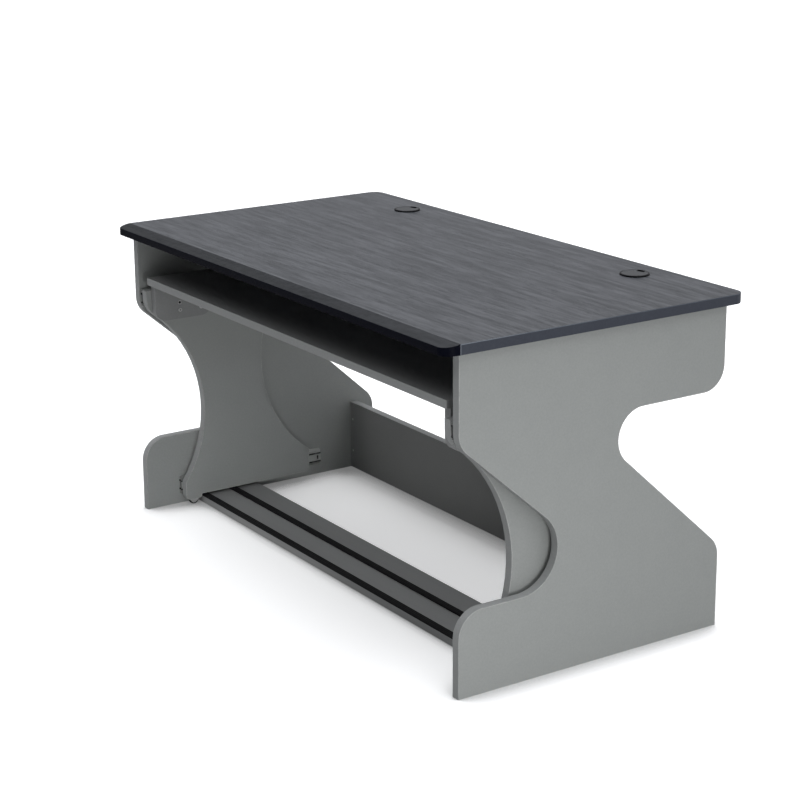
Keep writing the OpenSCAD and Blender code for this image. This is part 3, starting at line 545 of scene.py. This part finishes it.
# Painted shade on what leans towards the front
SLOPE_SHADE = FrontSlope("Front slope", (VECTOR,), (MASK,))
SETTLED_DUST = SettledDust("Settled dust", (VECTOR, AMOUNT), (MASK,))
TRIMMED_EDGE = TrimmedEdge("Trimmed edge", (VECTOR, AMOUNT), (MASK,))
# Grease and painted shade in the slides' grooves and slot
GROOVE_GREASE_SHADE = GroovedGrease("Grooved grease", (VECTOR,), (MASK,))
# Painted shade in holes and sockets
RECESS_SHADE = RecessGrime("Recess grime", (VECTOR,), (MASK,))
DRAWN_LINES = DrawnLines("Drawn lines", (VECTOR, SCALE), (TONE, HEIGHT))


@dataclass(frozen=True)
class Finish:
    """What every finish has: its slot in the record, its two tones, its roughness and its relief."""

    slot: str
    dark: Colour
    light: Colour
    roughness: Range
    bump: float = 0.1
    sheen: float = 0.5

    def surface(self, graph: Graph, at: Socket) -> dict[str, Value]:
        """Draws what changes over the surface.

        Args:
            graph: the material's graph.
            at: the point in the piece's own coordinates.

        Returns:
            What feeds the shader's sockets, by name.
        """
        raise NotImplementedError

    def relief(self, graph: Graph, height: Value, depth: float) -> Socket:
        """Returns the normal of a surface with this height, which is at most depth metres."""
        inputs = {"Strength": self.bump, "Distance": depth, "Height": height}
        return graph.add("ShaderNodeBump", inputs).outputs[0]

    def material(self) -> bpy.types.Material:
        """Builds the material on first use.

        Returns:
            The material, which is named after the slot.
        """
        found = bpy.data.materials.get(self.slot)
        if found is not None:
            return found
        made = bpy.data.materials.new(self.slot)
        made.use_nodes = True
        graph = Graph(made.node_tree)
        at = graph.add("ShaderNodeTexCoord", {}).outputs["Object"]
        shader = graph.add("ShaderNodeBsdfPrincipled", self.surface(graph, at))
        shader.inputs["Specular IOR Level"].default_value = self.sheen
        graph.add("ShaderNodeOutputMaterial", {"Surface": shader.outputs[0]})
        return made

    def colour(self, share: float) -> Opaque:
        """Returns a colour between the dark tone and the light one, or past them."""
        ends = zip(self.dark, self.light)
        return (*(max(0.0, dark + (light - dark) * share) for dark, light in ends), 1.0)

    def tone(self, graph: Graph, share: Socket) -> Socket:
        """Returns the colour that lies a share of the way from the dark tone to the light one."""
        return graph.mix(self.colour(0.0), self.colour(1.0), share)


@dataclass(frozen=True)
class WoodLaminate(Finish):
    """Printed wood grain under a satin skin, or bare wood, with the grain along x."""

    scale: float = 22.0
    stretch: float = 14.0
    depth: float = 0.0003
    pore_share: float = 0.5
    pore_tone: float = -0.6
    dust: float = 0.0
    # Painted shade on the front slope: its strength and its colour
    slope: float = 0.0
    slope_tone: Opaque = (0.0075, 0.0090, 0.0120, 1.0)

    def surface(self, graph: Graph, at: Socket) -> dict[str, Value]:
        """Draws streaks and pores, a little dust, and painted shade on the front slope where there is one.

        Args:
            graph: the material's graph.
            at: the point in the piece's own coordinates.

        Returns:
            What feeds the shader's sockets, by name.
        """
        grain = WOOD_GRAIN.place(graph, {"Vector": at, "Scale": self.scale, "Stretch": self.stretch})
        pored = graph.math("MULTIPLY", grain["Pores"], self.pore_share)
        tone = graph.mix(self.tone(graph, grain["Tone"]), self.colour(self.pore_tone), pored)
        dust = SETTLED_DUST.place(graph, {"Vector": at, "Amount": self.dust})["Mask"]
        tone = graph.mix(tone, DUST_TONE, dust)
        # Painted shade on the front slope
        if self.slope > 0.0:
            slope_shaded = SLOPE_SHADE.place(graph, {"Vector": at})["Mask"]
            tone = graph.mix(tone, self.slope_tone, graph.math("MULTIPLY", slope_shaded, self.slope))
        rough = graph.between(grain["Tone"], NONE_TO_ALL, self.roughness)
        normal = self.relief(graph, grain["Height"], self.depth)
        return {"Base Color": tone, "Roughness": rough, "Normal": normal}


@dataclass(frozen=True)
class Moulded(Finish):
    """Melamine, plastic edging, rubber and other moulded skins."""

    scale: float = 700.0
    depth: float = 0.0002
    # Painted highlight along the sharp edges: its strength, its width, and how far past the light tone it
    # goes
    wear: float = 0.0
    wear_width: float = 0.002
    rubbed_tone: float = 6.0
    trim: float = 0.0
    trim_tone: float = 14.0

    def surface(self, graph: Graph, at: Socket) -> dict[str, Value]:
        """Draws the close texture, a painted highlight along the sharp edges, and lighter lines where the
        skin is trimmed.

        Args:
            graph: the material's graph.
            at: the point in the piece's own coordinates.

        Returns:
            What feeds the shader's sockets, by name.
        """
        speckle = FINE_SPECKLE.place(graph, {"Vector": at, "Scale": self.scale})
        tone = self.tone(graph, speckle["Tone"])
        # Painted highlight along the sharp edges
        if self.wear > 0.0:
            arris_lit = ARRIS_HIGHLIGHT.place(graph, {"Vector": at, "Width": self.wear_width})["Mask"]
            tone = graph.mix(tone, self.colour(self.rubbed_tone), graph.math("MULTIPLY", arris_lit, self.wear))
        if self.trim > 0.0:
            trimmed = TRIMMED_EDGE.place(graph, {"Vector": at, "Amount": self.trim})["Mask"]
            tone = graph.mix(tone, self.colour(self.trim_tone), trimmed)
        rough = graph.between(speckle["Tone"], NONE_TO_ALL, self.roughness)
        normal = self.relief(graph, speckle["Height"], self.depth)
        return {"Base Color": tone, "Roughness": rough, "Normal": normal}


@dataclass(frozen=True)
class Steel(Finish):
    """Zinc-plated, rolled or polished steel."""

    scale: float = 900.0
    depth: float = 0.0001
    metal: float = 1.0
    # Grease and painted shade in the slides' grooves and slot
    grease: float = 0.0
    # Painted shade in the piece's own holes and sockets
    grime: float = 0.0

    def surface(self, graph: Graph, at: Socket) -> dict[str, Value]:
        """Draws rolling lines in the colour, roughness and relief, and the grease and painted shade that
        darken the steel.

        Args:
            graph: the material's graph.
            at: the point in the piece's own coordinates.

        Returns:
            What feeds the shader's sockets, by name.
        """
        lines = DRAWN_LINES.place(graph, {"Vector": at, "Scale": self.scale})
        tone = self.tone(graph, lines["Tone"])
        # Grease with painted shade in the slides' grooves and slot, and painted shade in holes and sockets
        grease_and_shade_marks = ((GROOVE_GREASE_SHADE, self.grease, GREASE_SHADE_TONE), (RECESS_SHADE, self.grime, RECESS_SHADE_TONE))
        for effect, amount, colour in grease_and_shade_marks:
            if amount > 0.0:
                mask = effect.place(graph, {"Vector": at})["Mask"]
                tone = graph.mix(tone, colour, graph.math("MULTIPLY", mask, amount))
        rough = graph.between(lines["Tone"], NONE_TO_ALL, self.roughness)
        normal = self.relief(graph, lines["Height"], self.depth)
        return {"Base Color": tone, "Roughness": rough, "Metallic": self.metal, "Normal": normal}


# The grey-blue wood print of the desktop, and the plastic bands round it
WORKTOP = WoodLaminate(
    slot="worktop_laminate",
    dark=(0.042, 0.045, 0.052),
    light=(0.114, 0.118, 0.129),
    roughness=(0.36, 0.48),
    bump=0.25,
    sheen=0.15,
    dust=0.01,
    # painted shade on the front bevel
    slope=0.92,
)
FRONT_BAND = Moulded(
    slot="front_band",
    dark=(0.0020, 0.0024, 0.0058),
    light=(0.0038, 0.0044, 0.0092),
    roughness=(0.35, 0.45),
    bump=0.05,
    sheen=0.02,
)
SIDE_BAND = Moulded(
    slot="side_band",
    dark=(0.041, 0.046, 0.060),
    light=(0.050, 0.056, 0.071),
    roughness=(0.38, 0.48),
    bump=0.05,
    sheen=0.15,
    trim=1.0,
)
# The pale grey melamine of the panels and boards, the edging that closes them, and the rubber strips
PANEL = Moulded(
    slot="panel_laminate",
    dark=(0.264, 0.276, 0.269),
    light=(0.300, 0.310, 0.302),
    roughness=(0.45, 0.55),
    bump=0.20,
    sheen=0.4,
    # painted highlight along the sharp edges
    wear=0.8,
    rubbed_tone=10.0,
)
BOARD = Moulded(
    slot="board_laminate",
    dark=(0.218, 0.222, 0.221),
    light=(0.246, 0.250, 0.249),
    roughness=(0.45, 0.55),
    bump=0.20,
    sheen=0.3,
    # painted highlight along the sharp edges
    wear=0.6,
)
EDGING = Moulded(
    slot="panel_edging",
    dark=(0.256, 0.264, 0.262),
    light=(0.294, 0.301, 0.299),
    roughness=(0.38, 0.46),
    bump=0.06,
    sheen=0.3,
    # painted highlight along the sharp edges
    wear=0.5,
)
STRIP = Moulded(
    slot="strip_rubber",
    dark=(0.005, 0.005, 0.006),
    light=(0.010, 0.010, 0.011),
    roughness=(0.60, 0.75),
    bump=0.30,
    sheen=0.15,
)
# The cable ports
LINER = Moulded(
    slot="port_liner",
    dark=(0.003, 0.003, 0.005),
    light=(0.006, 0.006, 0.008),
    roughness=(0.40, 0.50),
    bump=0.12,
    sheen=0.2,
)
CAP = Moulded(
    slot="port_cap",
    dark=(0.068, 0.070, 0.074),
    light=(0.090, 0.092, 0.097),
    roughness=(0.50, 0.60),
    bump=0.20,
    sheen=0.1,
)
# The slides, the wheels and what joins the boards
NOSE = Moulded(
    slot="nose_plastic",
    dark=(0.009, 0.009, 0.010),
    light=(0.015, 0.015, 0.016),
    roughness=(0.38, 0.48),
    bump=0.12,
)
HUB = Moulded(
    slot="hub_nylon",
    dark=(0.450, 0.450, 0.440),
    light=(0.520, 0.520, 0.510),
    roughness=(0.40, 0.50),
    bump=0.12,
)
TYRE = Moulded(
    slot="wheel_rubber",
    dark=(0.003, 0.003, 0.004),
    light=(0.006, 0.006, 0.007),
    roughness=(0.60, 0.75),
    bump=0.30,
    sheen=0.1,
)
SLIDE = Steel(
    slot="slide_steel",
    dark=(0.33, 0.34, 0.33),
    light=(0.47, 0.48, 0.47),
    roughness=(0.36, 0.50),
    bump=0.15,
    sheen=0.3,
    metal=0.35,
    # grease and painted shade in the grooves and slot
    grease=1.0,
)
CAGE = Steel(
    slot="cage_steel",
    dark=(0.42, 0.42, 0.40),
    light=(0.54, 0.54, 0.52),
    roughness=(0.30, 0.40),
    bump=0.10,
)
BALL = Steel(
    slot="ball_steel",
    dark=(0.66, 0.66, 0.67),
    light=(0.74, 0.74, 0.75),
    roughness=(0.06, 0.12),
    bump=0.02,
)
FASTENER = Steel(
    slot="fastener_steel",
    dark=(0.40, 0.40, 0.40),
    light=(0.56, 0.56, 0.56),
    roughness=(0.25, 0.38),
    bump=0.10,
    metal=0.45,
    # painted shade in the holes and sockets
    grime=0.95,
)
BEECH = WoodLaminate(
    slot="dowel_beech",
    dark=(0.40, 0.27, 0.15),
    light=(0.62, 0.46, 0.29),
    roughness=(0.60, 0.75),
    bump=0.30,
    scale=60.0,
)
# The dried glue where two bands meet, which isn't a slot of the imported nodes
GLUE = Moulded(
    slot="band_glue",
    dark=(0.110, 0.118, 0.140),
    light=(0.150, 0.158, 0.182),
    roughness=(0.45, 0.55),
    bump=0.05,
    sheen=0.15,
    scale=1500.0,
)
FINISHES = (
    WORKTOP, FRONT_BAND, SIDE_BAND, PANEL, BOARD, EDGING, STRIP, LINER, CAP,
    NOSE, HUB, TYRE, SLIDE, CAGE, BALL, FASTENER, BEECH,
)
FINISH_BY_SLOT = {finish.slot: finish for finish in FINISHES}


@dataclass(frozen=True)
class Pack:
    """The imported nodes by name, and the material slot of each."""

    nodes: Mapping[str, bpy.types.Object]
    slots: Mapping[str, str]


@dataclass
class Assembly:
    """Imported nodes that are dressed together, and the pieces that are built onto them."""

    pack: Pack
    weld: float = 0.00001
    segments: int = 2
    sharp_from: float = 35.0

    def members(self) -> dict[str, float]:
        """Returns how far each member's arrises are rounded, in metres, by the member's name."""
        raise NotImplementedError

    def build(self) -> None:
        """Builds the assembly's own pieces, where it has any."""

    def dress(self) -> None:
        """Gives each member its finish and rounds its arrises."""
        for name, radius in self.members().items():
            node = self.pack.nodes[name]
            slot = self.pack.slots[name]
            node.data.materials.clear()
            node.data.materials.append(FINISH_BY_SLOT[slot].material())
            if radius > 0.0:
                self.soften(node, radius)
            LOG.info("dressed %s in %s", name, slot)

    def soften(self, node: bpy.types.Object, radius: float) -> None:
        """Rounds a node's sharp edges with modifiers, so that its mesh stays as it is.

        Args:
            node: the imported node.
            radius: how far the rounding reaches from the edge, in metres.
        """
        self.round_edges(node, radius)
        normals = node.modifiers.new("normals", "WEIGHTED_NORMAL")
        normals.keep_sharp = False

    def round_edges(self, node: bpy.types.Object, radius: float) -> None:
        """Adds the modifiers that round a node's sharp edges.

        Args:
            node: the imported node.
            radius: how far the rounding reaches from the edge, in metres.
        """
        weld = node.modifiers.new("weld", "WELD")
        weld.merge_threshold = self.weld
        bevel = node.modifiers.new("arris", "BEVEL")
        bevel.width = radius
        bevel.segments = self.segments
        bevel.limit_method = "ANGLE"
        bevel.angle_limit = math.radians(self.sharp_from)


@dataclass
class Worktop(Assembly):
    """The bevelled desktop, its two bands and the glued seams between the bands."""

    half_width: float = 0.7165
    height: float = DESKTOP_TOP
    thickness: float = 0.022
    laminate_arris: float = 0.0002
    band_arris: float = 0.0007
    crease: float = 7.5
    seam_y: float = BAND_SEAM_Y
    seam_width: float = 0.0014
    seam_proud: float = 0.0001
    seam_round: float = 0.00006
    seam_profile: float = 0.5

    def members(self) -> dict[str, float]:
        """Returns how far each member's arrises are rounded, in metres, by the member's name."""
        return {
            "desktop": self.laminate_arris,
            "front_edge_band": self.band_arris,
            "side_edge_band": self.band_arris,
        }

    def soften(self, node: bpy.types.Object, radius: float) -> None:
        """Rounds a node's edges, and keeps the border of the desktop's shallow slope crisp.

        Args:
            node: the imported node.
            radius: how far the rounding reaches from the edge, in metres.
        """
        if node is not self.pack.nodes["desktop"]:
            super().soften(node, radius)
            return
        self.round_edges(node, radius)
        split = node.modifiers.new("crease", "EDGE_SPLIT")
        split.split_angle = math.radians(self.crease)
        split.use_edge_sharp = False

    def build(self) -> None:
        """Builds the seam where the two bands meet, on both sides."""
        for side in Side:
            self.seam(side)

    def seam(self, side: Side) -> None:
        """Builds the line of dried glue between the bands.

        Args:
            side: the side of the desk.
        """
        name = f"{side.label}_band_seam"
        half = self.thickness / 2 - self.band_arris
        centre = (side.value * self.half_width, self.seam_y, self.height - self.thickness / 2)
        size = Vector((2 * self.seam_proud, self.seam_width, 2 * half))
        shape = bmesh.new()
        bmesh.ops.create_cube(shape, size=1.0, matrix=Matrix.LocRotScale(centre, None, size))
        bmesh.ops.bevel(
            shape,
            geom=shape.edges[:],
            offset=self.seam_round,
            segments=self.segments,
            affect="EDGES",
            profile=self.seam_profile,
        )
        mesh = bpy.data.meshes.new(name)
        shape.to_mesh(mesh)
        shape.free()
        mesh.materials.append(GLUE.material())
        seam = bpy.data.objects.new(name, mesh)
        bpy.context.scene.collection.objects.link(seam)
        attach(seam, "frame")
        LOG.info("built %s", name)


@dataclass
class Boards(Assembly):
    """Panels, boards with rounder arrises, and the joinery that holds them."""

    panels: Names = ()
    boards: Names = ()
    joinery: Names = ()
    panel_arris: float = 0.0002
    board_arris: float = 0.0004

    def members(self) -> dict[str, float]:
        """Returns how far each member's arrises are rounded, in metres, by the member's name."""
        panels = dict.fromkeys(self.panels, self.panel_arris)
        boards = dict.fromkeys(self.boards, self.board_arris)
        return panels | boards | dict.fromkeys(self.joinery, 0.0)


@dataclass
class Carcass(Boards):
    """The side panels, the back panel, the rail, the pedal board and what joins them."""

    panels: Names = ("left_side_panel", "right_side_panel")
    boards: Names = (
        "left_side_panel_edging", "right_side_panel_edging", "back_panel", "back_panel_edging",
        "stretcher_rail", "pedal_board", "front_tread_strip", "rear_tread_strip",
    )
    joinery: Names = ("desktop_brackets", "bracket_screws", "joint_dowels", "back_panel_cams")


@dataclass
class Carriage(Boards):
    """The carriage panels, the keyboard shelf and the cheeks under it."""

    panels: Names = ("left_carriage_panel", "right_carriage_panel")
    boards: Names = (
        "left_carriage_panel_edging", "right_carriage_panel_edging", "keyboard_shelf",
        "keyboard_shelf_edging", "left_shelf_cheek", "right_shelf_cheek",
    )
    joinery: Names = ("shelf_dowels", "cheek_bolts", "cheek_bushes")


@dataclass
class Slides(Assembly):
    """The four ball-bearing slides, with their cages, balls, noses and screws."""

    levels: Names = ("upper", "lower")
    rails: Names = ("outer", "middle", "inner")
    fittings: Names = (
        "outer_slide_screws", "inner_slide_screws", "slide_noses",
        "outer_ball_cages", "outer_balls", "inner_ball_cages", "inner_balls",
    )

    def members(self) -> dict[str, float]:
        """Returns how far each member's arrises are rounded, in metres, by the member's name."""
        rails = [
            f"{side.label}_{level}_{rail}_slide"
            for side in Side
            for level in self.levels
            for rail in self.rails
        ]
        return dict.fromkeys((*rails, *self.fittings), 0.0)


@dataclass
class Ports(Assembly):
    """The two cable ports in the desktop."""

    parts: Names = ("liner", "cap")

    def members(self) -> dict[str, float]:
        """Returns how far each member's arrises are rounded, in metres, by the member's name."""
        return {f"{side.label}_grommet_{part}": 0.0 for part in self.parts for side in Side}


@dataclass
class Wheels(Assembly):
    """The two small floor wheels and the forks that hold them."""

    parts: Names = ("fork", "hub", "tyre")

    def members(self) -> dict[str, float]:
        """Returns how far each member's arrises are rounded, in metres, by the member's name."""
        sides = [f"{side.label}_wheel_{part}" for side in Side for part in self.parts]
        return dict.fromkeys((*sides, "wheel_axles"), 0.0)


@dataclass
class Camera:
    """The camera, at the photograph's angle."""

    place: Place = (3.7369, -2.49775, 1.7426)
    azimuth: float = 57.018
    elevation: float = 15.426
    roll: float = 0.516
    lens: float = 89.817
    sensor: float = 36.0
    shift: tuple[float, float] = (0.0249, -0.0504)
    sight: float = 200.0

    def build(self) -> None:
        """Places the camera, makes it the scene's own, and shows colours as they are."""
        data = bpy.data.cameras.new("camera")
        data.lens = self.lens
        data.sensor_width = self.sensor
        data.shift_x, data.shift_y = self.shift
        data.clip_end = self.sight
        camera = bpy.data.objects.new("camera", data)
        turn = Matrix.Rotation(math.radians(self.azimuth), 4, "Z")
        tilt = Matrix.Rotation(math.radians(90.0 - self.elevation), 4, "X")
        roll = Matrix.Rotation(math.radians(-self.roll), 4, "Z")
        facing = turn @ tilt
        camera.matrix_world = Matrix.Translation(self.place) @ facing @ roll
        bpy.context.scene.collection.objects.link(camera)
        bpy.context.scene.camera = camera
        bpy.context.scene.view_settings.view_transform = "Standard"
        LOG.info("placed the camera")


@dataclass
class Surroundings:
    """The pale room: how strong its light is on each side, and between which directions it rises."""

    dome: float = 2.2
    dome_rise: Range = (0.55, 0.85)
    right: float = 0.71
    right_rise: Range = (0.0, 0.7)
    right_ahead: Range = (-0.6, 0.05)
    right_ahead_share: Range = (0.04, 1.0)
    right_behind: Range = (0.3, 0.9)
    right_behind_share: Range = (1.0, 0.4)
    back: float = 0.6
    back_rise: Range = (0.0, 0.5)
    back_top: Range = (0.26, 0.42)
    front: float = 0.02
    left: float = 0.35
    left_rise: Range = (-0.6, 0.0)
    backdrop: float = 1.05

    def build(self) -> None:
        """Sets the room's light, which the camera sees as one pale backdrop."""
        world = bpy.data.worlds.new("surroundings")
        world.use_nodes = True
        graph = Graph(world.node_tree)
        x, y, z = graph.axes(graph.add("ShaderNodeTexCoord", {}).outputs["Generated"])
        dome = graph.between(z, self.dome_rise, (0.0, self.dome))
        low = graph.between(z, self.back_top, ALL_TO_NONE)
        behind = graph.between(y, self.right_behind, self.right_behind_share)
        ahead = graph.between(y, self.right_ahead, self.right_ahead_share)
        aside = graph.math("MULTIPLY", ahead, behind)
        right = graph.math("MULTIPLY", graph.between(x, self.right_rise, (0.0, self.right)), aside)
        back = graph.math("MULTIPLY", graph.between(y, self.back_rise, (0.0, self.back)), low)
        front = graph.between(y, self.left_rise, (self.front, self.left))
        above = graph.math("MAXIMUM", dome, right)
        strength = graph.math("MAXIMUM", above, graph.math("MAXIMUM", back, front))
        seen = graph.add("ShaderNodeLightPath", {}).outputs["Is Camera Ray"]
        shown = graph.between(seen, NONE_TO_ALL, (strength, self.backdrop))
        sky = graph.add("ShaderNodeBackground", {"Color": SKY_TONE, "Strength": shown})
        graph.add("ShaderNodeOutputWorld", {"Surface": sky.outputs[0]})
        bpy.context.scene.world = world
        LOG.info("set the surroundings")


@dataclass(frozen=True)
class Softbox:
    """A rectangular light: where it hangs and points, its size, its spread in degrees and its watts."""

    name: str
    place: Place
    target: Place
    size: tuple[float, float]
    spread: float
    power: float

    def build(self) -> None:
        """Hangs the light and aims it."""
        data = bpy.data.lights.new(self.name, "AREA")
        data.shape = "RECTANGLE"
        data.size, data.size_y = self.size
        data.spread = math.radians(self.spread)
        data.energy = self.power
        light = bpy.data.objects.new(self.name, data)
        aim = Vector(self.target) - Vector(self.place)
        facing = aim.to_track_quat("-Z", "Y").to_matrix().to_4x4()
        light.matrix_world = Matrix.Translation(self.place) @ facing
        bpy.context.scene.collection.objects.link(light)
        LOG.info("hung %s", self.name)


LOW_RIGHT = Softbox("low_right", (2.4, -0.60, 0.22), (0.7, -0.3, 0.2), (1.0, 0.4), 120.0, 5.0)
KNEE_FILL = Softbox("knee_fill", (1.6, -1.5, 0.30), (-0.66, -0.12, 0.06), (0.4, 0.2), 18.0, 0.17)
BACK_FILL = Softbox("back_fill", (-0.7, -2.0, 0.25), (-0.25, 0.27, 0.10), (0.4, 0.2), 26.0, 0.15)


@dataclass
class Floor:
    """The pale floor, with a painted soft shadow where the desk stands on it."""

    half: float = 60.0
    tone: float = 0.98
    bounce: float = 0.52
    glow: float = 0.30
    roughness: float = 0.7
    contact_reach: float = 0.10
    contact_open: Range = (0.5, 0.86)
    contact_shade: float = 0.46
    contact_samples: int = 8

    def build(self) -> None:
        """Lays the floor."""
        half = self.half
        corners = [(-half, -half, 0), (half, -half, 0), (half, half, 0), (-half, half, 0)]
        mesh = bpy.data.meshes.new("floor")
        mesh.from_pydata(corners, [], [(0, 1, 2, 3)])
        mesh.materials.append(self.material())
        floor = bpy.data.objects.new("floor", mesh)
        bpy.context.scene.collection.objects.link(floor)
        LOG.info("laid the floor")

    def material(self) -> bpy.types.Material:
        """Builds the floor's material.

        Returns:
            A material that is paler to the camera than to the light that it throws back.
        """
        pale = bpy.data.materials.new("pale_floor")
        pale.use_nodes = True
        graph = Graph(pale.node_tree)
        seen = graph.add("ShaderNodeLightPath", {}).outputs["Is Camera Ray"]
        # Painted contact shadow near the desk, on the floor's colour and glow as the camera sees them
        reach = {"Distance": self.contact_reach}
        near = graph.add("ShaderNodeAmbientOcclusion", reach, samples=self.contact_samples).outputs["AO"]
        contact = graph.between(near, self.contact_open, (self.contact_shade, 1.0))
        shown = graph.math("MULTIPLY", contact, self.tone)
        tone = graph.between(seen, NONE_TO_ALL, (self.bounce, shown))
        glow = graph.math("MULTIPLY", graph.math("MULTIPLY", seen, self.glow), contact)
        grey = graph.add("ShaderNodeCombineColor", {0: tone, 1: tone, 2: tone}).outputs[0]
        inputs = {"Base Color": grey, "Roughness": self.roughness, "Emission Strength": glow}
        shader = graph.add("ShaderNodeBsdfPrincipled", inputs)
        shader.inputs["Emission Color"].default_value = WHITE
        graph.add("ShaderNodeOutputMaterial", {"Surface": shader.outputs[0]})
        return pale


def main() -> None:
    """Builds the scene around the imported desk."""
    logging.basicConfig(level=logging.INFO, format="%(name)s: %(message)s")
    for item in list(bpy.data.objects):
        bpy.data.objects.remove(item)
    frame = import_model()
    for imported in list(bpy.data.materials):
        bpy.data.materials.remove(imported)
    slots = {row["node"]: row["material_slot"] for row in frame["record"]["subparts"]}
    pack = Pack(frame["nodes"], slots)
    for assembly in (Worktop(pack), Carcass(pack), Carriage(pack), Slides(pack), Ports(pack), Wheels(pack)):
        assembly.dress()
        assembly.build()
    for part in (Camera(), Surroundings(), LOW_RIGHT, KNEE_FILL, BACK_FILL, Floor()):
        part.build()


if __name__ == "__main__":
    main()
